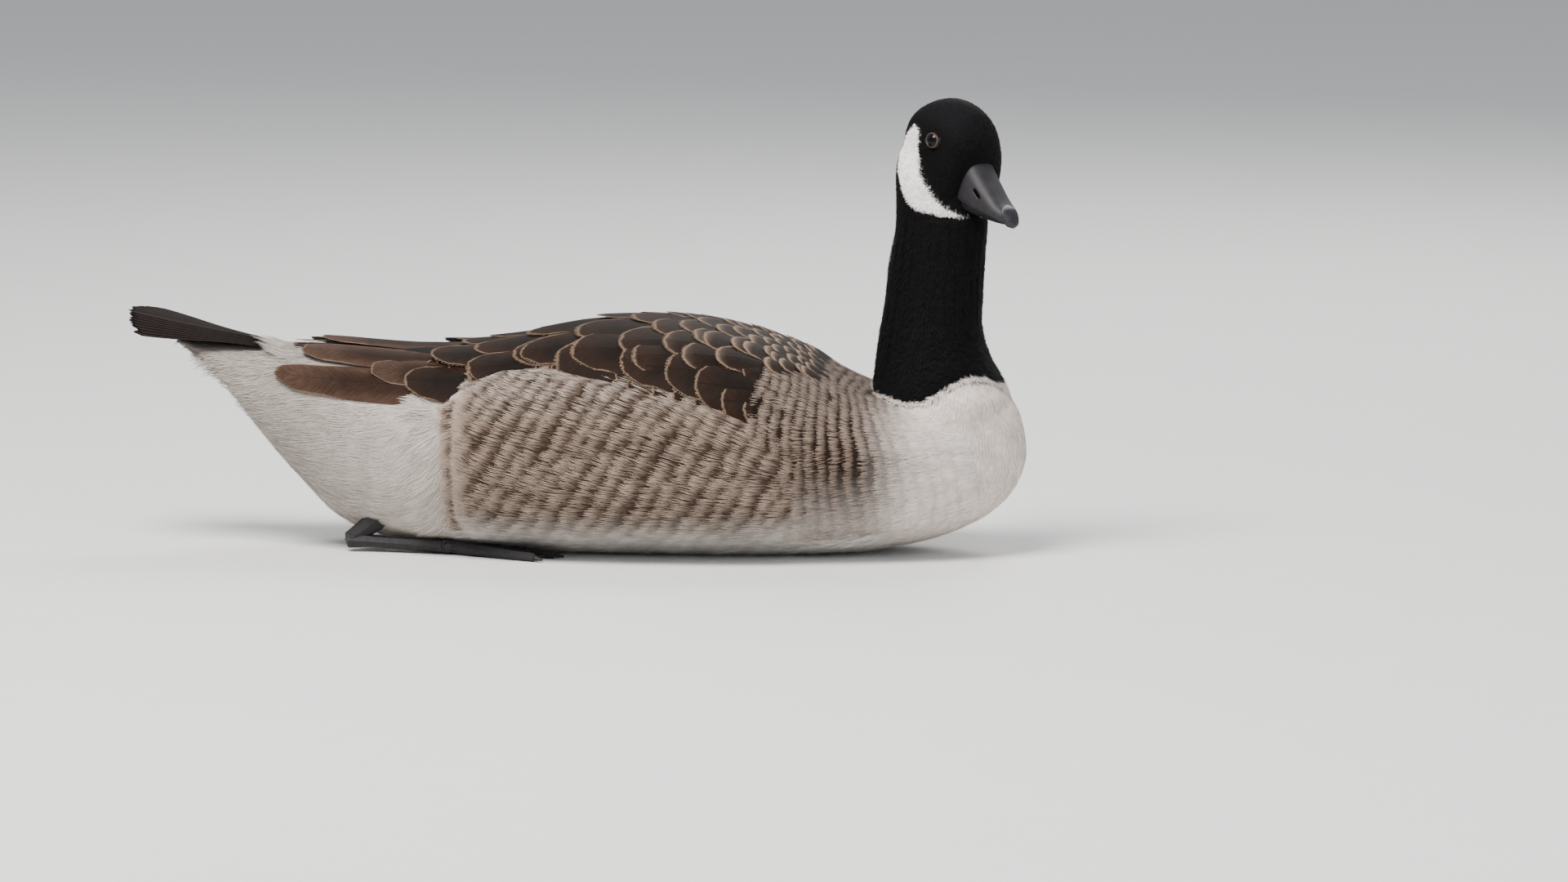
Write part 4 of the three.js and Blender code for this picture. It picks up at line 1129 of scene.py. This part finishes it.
def mandible(is_upper):
    """The upper half of the bill is an arch over the line of the mouth, the lower a shallow trough. The
    nostril is a slit sunk into the side, and the cutting edge carries fine ridges."""
    side = 1 if is_upper else -1
    t = np.linspace(0, len(BILL["f"]) - 1, 150)[:, None]
    quarter = np.linspace(0, 1, 41)[:-1] ** 1.35 * 90
    turn = np.concatenate([quarter, 180 - quarter[::-1], 180 + quarter[1:], 360 - quarter[:0:-1]])
    c, s = np.cos(np.radians(turn))[None], np.sin(np.radians(turn))[None]
    mouth = along(BILL["mouth"], t) + side * 0.15
    crest = along(BILL["culmen" if is_upper else "chin"], t) - (3.8 * smooth(3.6, 0, t) if is_upper else 0)
    away = np.maximum(0, side * s)
    f = along(BILL["f"], t, True) - (0 if is_upper else 3) * smooth(0.4, 1, t / t.max())
    width = along(BILL["width"], t) * (1 if is_upper else 0.88)
    up = mix(mouth, crest, away ** mix(0.6, 0.85, smooth(0, 5, t)))
    grid = stack(f + 0 * c, width * power(c, 0.65), up)
    ridge = 0.14 * np.sin(f * 6.283 / 1.9) * smooth(0.16, 0.02, away) * smooth(20, 34, f) * smooth(76, 66, f)
    grid[..., 1] += ridge * np.sign(c)
    tone = np.ones(grid.shape[:2])
    if is_upper:
        ahead, above = grid[..., 0] - NOSTRIL_AT[0], grid[..., 2] - NOSTRIL_AT[1]
        slant = ahead * NOSTRIL_RUN[0] + above * NOSTRIL_RUN[1]
        across = above * NOSTRIL_RUN[0] - ahead * NOSTRIL_RUN[1]
        near = smooth(5, 8, np.abs(grid[..., 1]))
        pit = np.exp(-((slant / 4.2) ** 4 + (across / 1.25) ** 4)) * near
        swell = np.exp(-((slant / 8) ** 2 + ((across - 2.6) / 3) ** 2)) * near
        grid[..., 1] += (0.35 * swell - 1.3 * pit) * np.sign(grid[..., 1])
        # Painted shade: the slit of the nostril is tinted nearly black, as its hollow lies in shadow
        shade = np.exp(-((slant / 4.8) ** 6 + (across / 1.8) ** 6)) * near
        tone = tone * (1 - 0.995 * shade)
    # Painted shade: the upper half darkens towards the line of the mouth, and the lower half is darker all
    # over, as both lie in shadow below the bill's top
    tone = tone * mix(0.45, 1, smooth(0.0, 0.12, away)) if is_upper else tone * 0.55
    points, faces = shell(from_head(grid))
    tones = np.concatenate([tone[0, :1], tone[1:-1].ravel(), tone[-1, :1]])
    return points, faces, rgba(np.repeat(tones[:, None], 3, 1))


def nostril(side):
    """Painted shade for the hollow of a nostril: a thin black dish in the slit of the bill's side."""
    k = np.linspace(0, 1, 17)[:, None]
    c, s = circle(12)
    slant, across = 4.5 * np.sin(k * np.pi) * c, 1.05 * np.sin(k * np.pi) * s
    f = NOSTRIL_AT[0] + NOSTRIL_RUN[0] * slant - NOSTRIL_RUN[1] * across
    u = NOSTRIL_AT[1] + NOSTRIL_RUN[1] * slant + NOSTRIL_RUN[0] * across
    t = np.interp(f, BILL["f"], np.arange(len(BILL["f"])))
    share = (u - along(BILL["mouth"], t)) / (along(BILL["culmen"], t) - along(BILL["mouth"], t))
    high = share ** (1 / mix(0.6, 0.85, smooth(0, 5, t)))
    y = along(BILL["width"], t) * (1 - high * high) ** 0.325 - mix(0.1, 0.9, smooth(0.45, 0.75, k))
    grid = stack(f, side * (y - 0.25 * np.sin(k * np.pi) * (k < 0.5)), u)
    points, faces = shell(from_head(grid))
    return points, facing(faces, -side)


def nail():
    """The nail: a smooth oval shield that caps the tip of the bill and hooks down over it."""
    t = np.linspace(0, 1, 34)[:, None]
    c, s = circle(7.5)
    f = mix(68.5, 82.6, t ** 0.9)
    bill_t = np.interp(f, along(BILL["f"], np.linspace(0, 8, 400), True), np.linspace(0, 8, 400))
    top = along(BILL["culmen"], bill_t) + 0.9
    low = mix(top - 2.5, -31.6, smooth(0.15, 0.8, t))
    width = 7.4 * np.sqrt(np.clip(1 - np.abs(2 * t - 1) ** 2.1, 0, 1))
    middle = mix(low, top, 0.45)
    up = middle + np.where(s > 0, top - middle, middle - low) * s
    return shell(from_head(stack(f + 0 * c, width * c, up)))


def eye_axes(side):
    """Centre of an eyeball and three axes with the last along its gaze, in the head's frame."""
    ahead = unit(EYE_FACING * [1, side, 1])
    right = unit(np.cross([0, 0, 1.0], ahead))
    return np.array([EYE_AHEAD, side * EYE_APART / 2, 0.0]), np.stack([right, np.cross(ahead, right), ahead])


def eyeball(side):
    """A ball whose rows run from the middle of the pupil to the back, with a slightly raised front."""
    centre, axes = eye_axes(side)
    v = np.linspace(0, 1, 40)[:, None]
    c, s = circle(7.5)
    r = EYE_RADIUS * (1 + 0.03 * np.exp(-(v / 0.16) ** 2))
    out = r * np.sin(v * np.pi)
    grid = stack(out * c, out * s, r * np.cos(v * np.pi))
    points, faces = shell(from_head(grid @ axes + centre))
    at = np.concatenate([[0], np.repeat(v[1:-1, 0], grid.shape[1]), [1]])
    return points, facing(faces, -1), stack(0 * at + 0.5, at)


def lids(side):
    """Upper and lower lid: a fleshy ring round an opening that is a little longer than high, thick at its
    outer edge and thin at the wet rim, with small folds all round."""
    centre, axes = eye_axes(side)
    turn = np.radians(np.arange(0, 360, 4.0))[:, None]
    c, s = circle(24)
    wrinkle = 1 + 0.12 * np.sin(turn * 26) * smooth(-0.4, 0.6, c)
    reach = 5.5 + 0.72 * c * wrinkle
    height = 5.3 + 0.65 * s * wrinkle - 0.4 * c
    open_up = 1 - 0.1 * np.abs(np.sin(turn))
    grid = stack(reach * np.cos(turn), reach * open_up * np.sin(turn), height + 0 * turn)
    rows, around = grid.shape[:2]
    a = np.arange(rows * around).reshape(rows, around)
    b = np.roll(a, -1, 1)
    faces = [stack(a, np.roll(a, -1, 0), np.roll(b, -1, 0), b).reshape(-1, 4)]
    return from_head(grid.reshape(-1, 3) @ axes + centre), facing(faces, side)


# Stage

CAMERA_AZIMUTH = np.radians(6)
CAMERA_ELEVATION = np.radians(7)
CAMERA_LOOKS_AT = Vector((0.1517, 0, 0.0806))
VIEW_WIDTH = 1.152  # metres across the picture at the bird
CAMERA_DISTANCE = 6.0
CAMERA_ROLL = np.radians(0.15)


def floor_material():
    """Matt painted board: pale, even and slightly rough, so that the bird's shadow lies soft on it."""
    made, tree, shader = new_material("matt_painted_board")
    lit = tinted(tree, speckle(tree, 60), colour("floor") * 0.98, colour("floor") * 1.02)
    plug(tree, shader, {"Base Color": lit, "Roughness": 0.9, "Specular IOR Level": 0.2})
    return made


def area_light(name, place, target, size, watts, tone):
    """A square soft light that points at a target."""
    light = bpy.data.lights.new(name, "AREA")
    light.shape = "SQUARE"
    light.size = size
    light.energy = watts
    light.color = tone
    made = bpy.data.objects.new(name, light)
    made.location = place
    made.rotation_euler = (Vector(target) - Vector(place)).to_track_quat("-Z", "Y").to_euler()
    bpy.context.scene.collection.objects.link(made)
    return made


# Operators

class GOOSE_OT_skin(bpy.types.Operator):
    """One closed skin under all the feathers of body, neck and head"""
    bl_idname = "goose.skin"
    bl_label = "Skin"

    def execute(self, context):
        material = small_feathers("downy_skin", 0.9, 0.1, 0.3)
        points, faces = joined([shell(trunk_grid()), shell(neck_grid()), shell(head_grid())])
        draft = mesh_object("draft_skin", points, faces, material)
        melt = draft.modifiers.new("melt", "REMESH")
        melt.mode = "VOXEL"
        melt.voxel_size = SKIN_GRAIN * MM
        ease = draft.modifiers.new("ease", "SMOOTH")
        ease.factor = 0.5
        ease.iterations = 5
        mesh = bpy.data.meshes.new_from_object(draft.evaluated_get(context.evaluated_depsgraph_get()))
        bpy.data.objects.remove(draft)
        if len(mesh.vertices) < 10000:
            raise RuntimeError("the skin came out empty")
        measure_skin(mesh)
        points = above_floor(SKIN["points"].copy(), 0.4)
        tone = mix(*markings(points), 0.3) * 0.75
        made = mesh_object("skin", points, [SKIN["faces"]], material, tint=rgba(tone))
        piece(made, "side_feathers", "torso", "breast", "rump", "neck_lower", "neck_upper", "head")
        return {"FINISHED"}


def from_eye(p):
    """Distance of each place from the nearer eye's line of sight, in millimetres."""
    reach = []
    for side in (1, -1):
        centre, axes = eye_axes(side)
        local = (to_head(p) - centre) @ axes.T
        reach.append(np.hypot(local[:, 0], local[:, 1]) + 50 * (local[:, 2] < 0))
    return np.minimum(*reach)


def head_length(p):
    """Length of the feathers on neck and head: shortest round the bill and the eyes."""
    sizes = bpy.context.scene.goose_sizes
    grown = mix(sizes.neck_feather, sizes.head_feather, smooth(215, 280, p[:, 2])) / MM
    near_bill = smooth(8, 32, to_head(p)[:, 0]) * (p[:, 2] > 250)
    at_edge = smooth(14, 0, p[:, 2] - table(BLACK_EDGE, p[:, 0]))
    return grown * mix(1, 0.55, near_bill) * mix(0.4, 1, smooth(6, 12, from_eye(p))) * mix(1, 0.6, at_edge)


def up_the_side(p):
    """Degrees up the side, from -90 at the belly to 90 on the back."""
    return fold(np.degrees(np.arctan2(p[:, 2] - 78, p[:, 1])))


class GOOSE_OT_head_coat(bpy.types.Operator):
    """Velvet of tiny feathers over head, throat and neck"""
    bl_idname = "goose.head_coat"
    bl_label = "Head and neck feathers"

    def execute(self, context):
        velvet = small_feathers("black_velvet_feather", 0.8, 0.03, 0.4)

        def width(p):
            return 0.5 * head_length(p)

        def on_head(p):
            return (p[:, 2] > HEAD_LINE) & (from_eye(p) > EYE_RING)

        def on_upper_neck(p):
            return (p[:, 2] <= HEAD_LINE) & (p[:, 2] > NECK_LINE)

        def on_lower_neck(p):
            return (p[:, 2] <= NECK_LINE) & (p[:, 2] > table(BLACK_EDGE, p[:, 0]) - 3)

        def furrow(p):
            x, y, z = p.T
            ridges = waves(stack(33 * np.arctan2(y - 4, x - 266), 0.1 * z), 7.5, 9)
            return 0.75 * (ridges * smooth(262, 235, z) * smooth(118, 150, z)) + 0.25

        coat("head_feathers", 1.25, on_head, head_length, width, velvet, "black_feathers", 51, rise=0.85)
        coat("neck_feathers_upper", 1.42, on_upper_neck, head_length, width, velvet, "black_feathers", 52,
             rise=1.2, fullness=1.2, furrow=furrow)
        coat("neck_feathers_lower", 1.5, on_lower_neck, head_length, width, velvet, "black_feathers", 53,
             rise=1.8, spread=12, furrow=furrow)
        return {"FINISHED"}


class GOOSE_OT_body_coat(bpy.types.Operator):
    """Soft small feathers of breast, belly and rear"""
    bl_idname = "goose.body_coat"
    bl_label = "Breast, belly and rear feathers"

    def execute(self, context):
        sizes = context.scene.goose_sizes
        soft = small_feathers("soft_pale_feather", 0.85, 0.1, 0.16)

        def on_breast(p):
            return (p[:, 0] > BREAST_LINE) & (p[:, 2] < table(BLACK_EDGE, p[:, 0]) + 2) & (p[:, 2] > 1.2)

        def on_belly(p):
            return (p[:, 0] <= BREAST_LINE) & (p[:, 0] > BELLY_END) & (up_the_side(p) < -38)

        def on_rear(p):
            covered = (p[:, 0] > -186) & (p[:, 2] > 119) & ((p[:, 2] < 134) | (p[:, 0] > -165))
            covered |= (p[:, 0] > -155) & (p[:, 2] > mix(114, 118, smooth(-125, -90, p[:, 0])))
            return (p[:, 0] <= REAR_START) & (p[:, 0] > -296) & ~covered

        def reach(value):
            return lambda p: value / MM * mix(0.3, 1, smooth(-296, -255, p[:, 0]))

        def under_flank(p):
            return (p[:, 0] < -72) & (p[:, 0] > -100) & (p[:, 2] > 30) & (p[:, 2] < 112)

        breast, belly, rear = sizes.breast_feather, sizes.belly_feather, sizes.rear_feather
        coat("breast_feathers", 3.25, on_breast, reach(breast), reach(0.55 * breast), soft,
             "breast_feathers", 61, strands=8, long=3, rise=1.2, spread=6, shade=0.03, streak=0.07,
             fullness=0.9)
        coat("belly_feathers", 4.6, on_belly, reach(belly), reach(0.5 * belly), soft, "side_feathers",
             62, strands=7, long=3, rise=1.8, fullness=1.0)
        coat("vent_tufts", 5.0, under_flank, reach(1.2 * rear), reach(0.3 * rear), soft, "white_feathers",
             64, strands=9, long=4, rise=4.2, spread=16, shade=0.03, streak=0.05, fullness=0.7)
        coat("rear_feathers", 5.3, on_rear, reach(rear), reach(0.34 * rear), soft, "white_feathers",
             63, strands=9, long=3, rise=1.6, spread=7, shade=0.02, streak=0.05, fullness=0.85)
        return {"FINISHED"}


class GOOSE_OT_flanks(bpy.types.Operator):
    """Barred side feathers, and the feathers between breast and wing"""
    bl_idname = "goose.flanks"
    bl_label = "Flank and side feathers"

    def execute(self, context):
        soft = small_feathers("soft_contour_feather", 0.85, 0.06, 0.16)
        for name, side, seed in (("left", 1, 71), ("right", -1, 81)):
            flank_feathers("flank_feathers_" + name, side, seed, soft)
            side_feathers("side_feathers_" + name, side, seed + 5, soft)
        return {"FINISHED"}


class GOOSE_OT_back(bpy.types.Operator):
    """Rounded feathers of the back, with worn pale rims"""
    bl_idname = "goose.back"
    bl_label = "Back feathers"

    def execute(self, context):
        back_feathers()
        return {"FINISHED"}


class GOOSE_OT_wings(bpy.types.Operator):
    """Folded wings with coverts, tertials and primaries"""
    bl_idname = "goose.wings"
    bl_label = "Wings"

    def execute(self, context):
        stiff = vane_feathers("wing_feather_keratin", colour("back_rim"), 0.9, 0.62)
        loose = small_feathers("loose_wing_feather_barbs", 0.8, 0.0, 0.16)
        for name, side, seed in (("left", 1, 91), ("right", -1, 101)):
            groups, barbs, rims = wing_feathers(seed)
            feather_piece("wing_feathers_" + name, groups, stiff, "back_feathers", side, ["wing_" + name])
            between = 0.5 * (rims + colour("back_light"))
            barb_piece("wing_barbs_" + name, barbs, between, rims, seed + 9, loose, side)
        return {"FINISHED"}


class GOOSE_OT_tail(bpy.types.Operator):
    """Black tail feathers and the white coverts over their roots"""
    bl_idname = "goose.tail"
    bl_label = "Tail"

    def execute(self, context):
        black = vane_feathers("tail_feather_keratin", colour("primary"), 0.7, 0.6, gloss=0.04)
        feather_piece("tail_feathers", [tail_feathers()], black, "tail_feathers", nodes=["tail"])
        tail_coverts(small_feathers("soft_white_covert", 0.85, 0.1, 0.16))
        return {"FINISHED"}


class GOOSE_OT_bill(bpy.types.Operator):
    """Bill with nostrils, cutting edges and nail"""
    bl_idname = "goose.bill"
    bl_label = "Bill"

    def execute(self, context):
        sheath = horn("dark_horn_bill", colour("bill"), colour("bill") * 1.7, 0.55)
        polished = horn("polished_horn_nail", colour("nail"), colour("nail") * 1.6, 0.45)
        for name, is_upper in (("bill_upper", True), ("bill_lower", False)):
            points, faces, tint = mandible(is_upper)
            made = mesh_object(name + "_horn", points, faces, sheath, tint=tint)
            piece(made, "horn", name)
        points, faces = nail()
        behind = smooth(74.5, 71, to_head(points)[:, 0]) * smooth(-30, -26, to_head(points)[:, 2])
        tone = rgba(np.repeat(1 + 6 * behind[:, None], 3, 1))
        piece(mesh_object("bill_nail_horn", points, faces, polished, tint=tone), "horn", "bill_nail")
        # A black sheet without gloss in each nostril's slit: painted shade for its hollow
        nostril_shade, tree, shader = new_material("nostril_painted_shade")
        plug(tree, shader, {"Base Color": (0.003, 0.003, 0.003, 1), "Roughness": 0.9,
                            "Specular IOR Level": 0.0})
        for name, side in (("left", 1), ("right", -1)):
            piece(mesh_object("nostril_" + name, *nostril(side), nostril_shade), "horn")
        return {"FINISHED"}


class GOOSE_OT_eyes(bpy.types.Operator):
    """Eyes with dark iris and wet surface, and the lids round them"""
    bl_idname = "goose.eyes"
    bl_label = "Eyes"

    def execute(self, context):
        wet = eye_glass()
        skin = bare_skin("lid_skin", colour("lid"), 0.5, 0.08, 0.45)
        for name, side in (("left", 1), ("right", -1)):
            points, faces, at = eyeball(side)
            made = mesh_object("eyeball_" + name, points, faces, wet, round=at)
            piece(made, "eye", "eye_" + name)
            points, faces = lids(side)
            piece(mesh_object("lids_" + name, points, faces, skin), "black_feathers")
        return {"FINISHED"}


class GOOSE_OT_legs(bpy.types.Operator):
    """Scaly skin for legs and webbed feet"""
    bl_idname = "goose.legs"
    bl_label = "Legs and feet"

    def execute(self, context):
        scaly = bare_skin("scaly_leg_skin", colour("foot"), 1.4, 0.25, 0.5)
        for name in ("leg_left", "leg_right", "foot_left", "foot_right"):
            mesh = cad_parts[name].data
            mesh.materials.clear()
            mesh.materials.append(scaly)
        return {"FINISHED"}


class GOOSE_OT_stage(bpy.types.Operator):
    """Pale floor, soft studio light and camera"""
    bl_idname = "goose.stage"
    bl_label = "Stage"

    def execute(self, context):
        corners = np.array([[-1, -1, 0], [1, -1, 0], [1, 1, 0], [-1, 1, 0]]) * 20000.0
        floor = mesh_object("floor", corners, [np.array([[0, 1, 2, 3]])], floor_material())
        world = bpy.data.worlds.new("studio")
        world.use_nodes = True
        world.node_tree.nodes["Background"].inputs["Color"].default_value = (0.86, 0.9, 0.96, 1)
        world.node_tree.nodes["Background"].inputs["Strength"].default_value = 0.55
        context.scene.world = world
        area_light("key", (-0.7, -1.5, 2.9), (0, 0, 0.12), 1.5, 205, (1, 0.97, 0.94))
        area_light("fill", (2.0, -2.2, 1.2), (0.1, 0, 0.15), 1.8, 34, (0.94, 0.97, 1))
        area_light("rim", (0.6, 2.2, 2.2), (0, 0, 0.15), 1.4, 60, (1, 0.99, 0.97))
        camera = bpy.data.objects.new("camera", bpy.data.cameras.new("camera"))
        a, e = CAMERA_AZIMUTH, CAMERA_ELEVATION
        back = Vector((np.sin(a) * np.cos(e), -np.cos(a) * np.cos(e), np.sin(e)))
        camera.location = CAMERA_LOOKS_AT + back * CAMERA_DISTANCE
        turn = back.to_track_quat("Z", "Y") @ Quaternion((0, 0, 1), CAMERA_ROLL)
        camera.rotation_euler = turn.to_euler()
        camera.data.sensor_width = 36
        camera.data.lens = 36 * CAMERA_DISTANCE / VIEW_WIDTH
        camera.data.clip_end = 100
        context.scene.collection.objects.link(camera)
        context.scene.camera = camera
        return {"FINISHED"}


# Sizes and colours that a user may change

def length_property(name, description, millimetres):
    """A length of the panel, given in millimetres."""
    return FloatProperty(name=name, description=description, default=millimetres * MM, min=0.0,
                         unit="LENGTH", precision=5)


class GooseSizes(bpy.types.PropertyGroup):
    coat_depth: length_property("Coat depth", "Depth of the coat on the body", 1.1)
    neck_depth: length_property("Neck coat depth", "Depth of the coat on the neck", 0.9)
    head_depth: length_property("Head coat depth", "Depth of the coat on the head", 0.8)
    head_feather: length_property("Head feather", "Length of the feathers on the head", 3.6)
    neck_feather: length_property("Neck feather", "Length of the feathers on the neck", 6.5)
    breast_feather: length_property("Breast feather", "Length of the feathers on the breast", 10)
    belly_feather: length_property("Belly feather", "Length of the feathers on the belly", 17)
    rear_feather: length_property("Rear feather", "Length of the feathers under the tail", 21)


class GooseColours(bpy.types.PropertyGroup):
    __annotations__ = {
        key: FloatVectorProperty(name=name, description=description, default=tuple(linear(text)), size=3,
                                 subtype="COLOR", min=0.0, max=1.0)
        for key, (name, description, text) in COLOURS.items()
    }


OPERATORS = (
    GOOSE_OT_skin, GOOSE_OT_head_coat, GOOSE_OT_body_coat, GOOSE_OT_flanks, GOOSE_OT_back, GOOSE_OT_wings,
    GOOSE_OT_tail, GOOSE_OT_bill, GOOSE_OT_eyes, GOOSE_OT_legs, GOOSE_OT_stage,
)


class GOOSE_PT_panel(bpy.types.Panel):
    bl_idname = "GOOSE_PT_panel"
    bl_label = "Canada goose"
    bl_space_type = "VIEW_3D"
    bl_region_type = "UI"
    bl_category = "Goose"

    def draw(self, context):
        for group in (context.scene.goose_sizes, context.scene.goose_colours):
            for key in group.__annotations__:
                self.layout.prop(group, key)
        for operator in OPERATORS:
            self.layout.operator(operator.bl_idname)


CLASSES = (GooseSizes, GooseColours, *OPERATORS, GOOSE_PT_panel)


def register():
    for each in CLASSES:
        bpy.utils.register_class(each)
    bpy.types.Scene.goose_sizes = PointerProperty(type=GooseSizes)
    bpy.types.Scene.goose_colours = PointerProperty(type=GooseColours)


def unregister():
    del bpy.types.Scene.goose_colours
    del bpy.types.Scene.goose_sizes
    for each in reversed(CLASSES):
        bpy.utils.unregister_class(each)


def main():
    register()
    for operator in OPERATORS:
        category, name = operator.bl_idname.split(".")
        getattr(getattr(bpy.ops, category), name)()


if __name__ == "__main__":
    main()
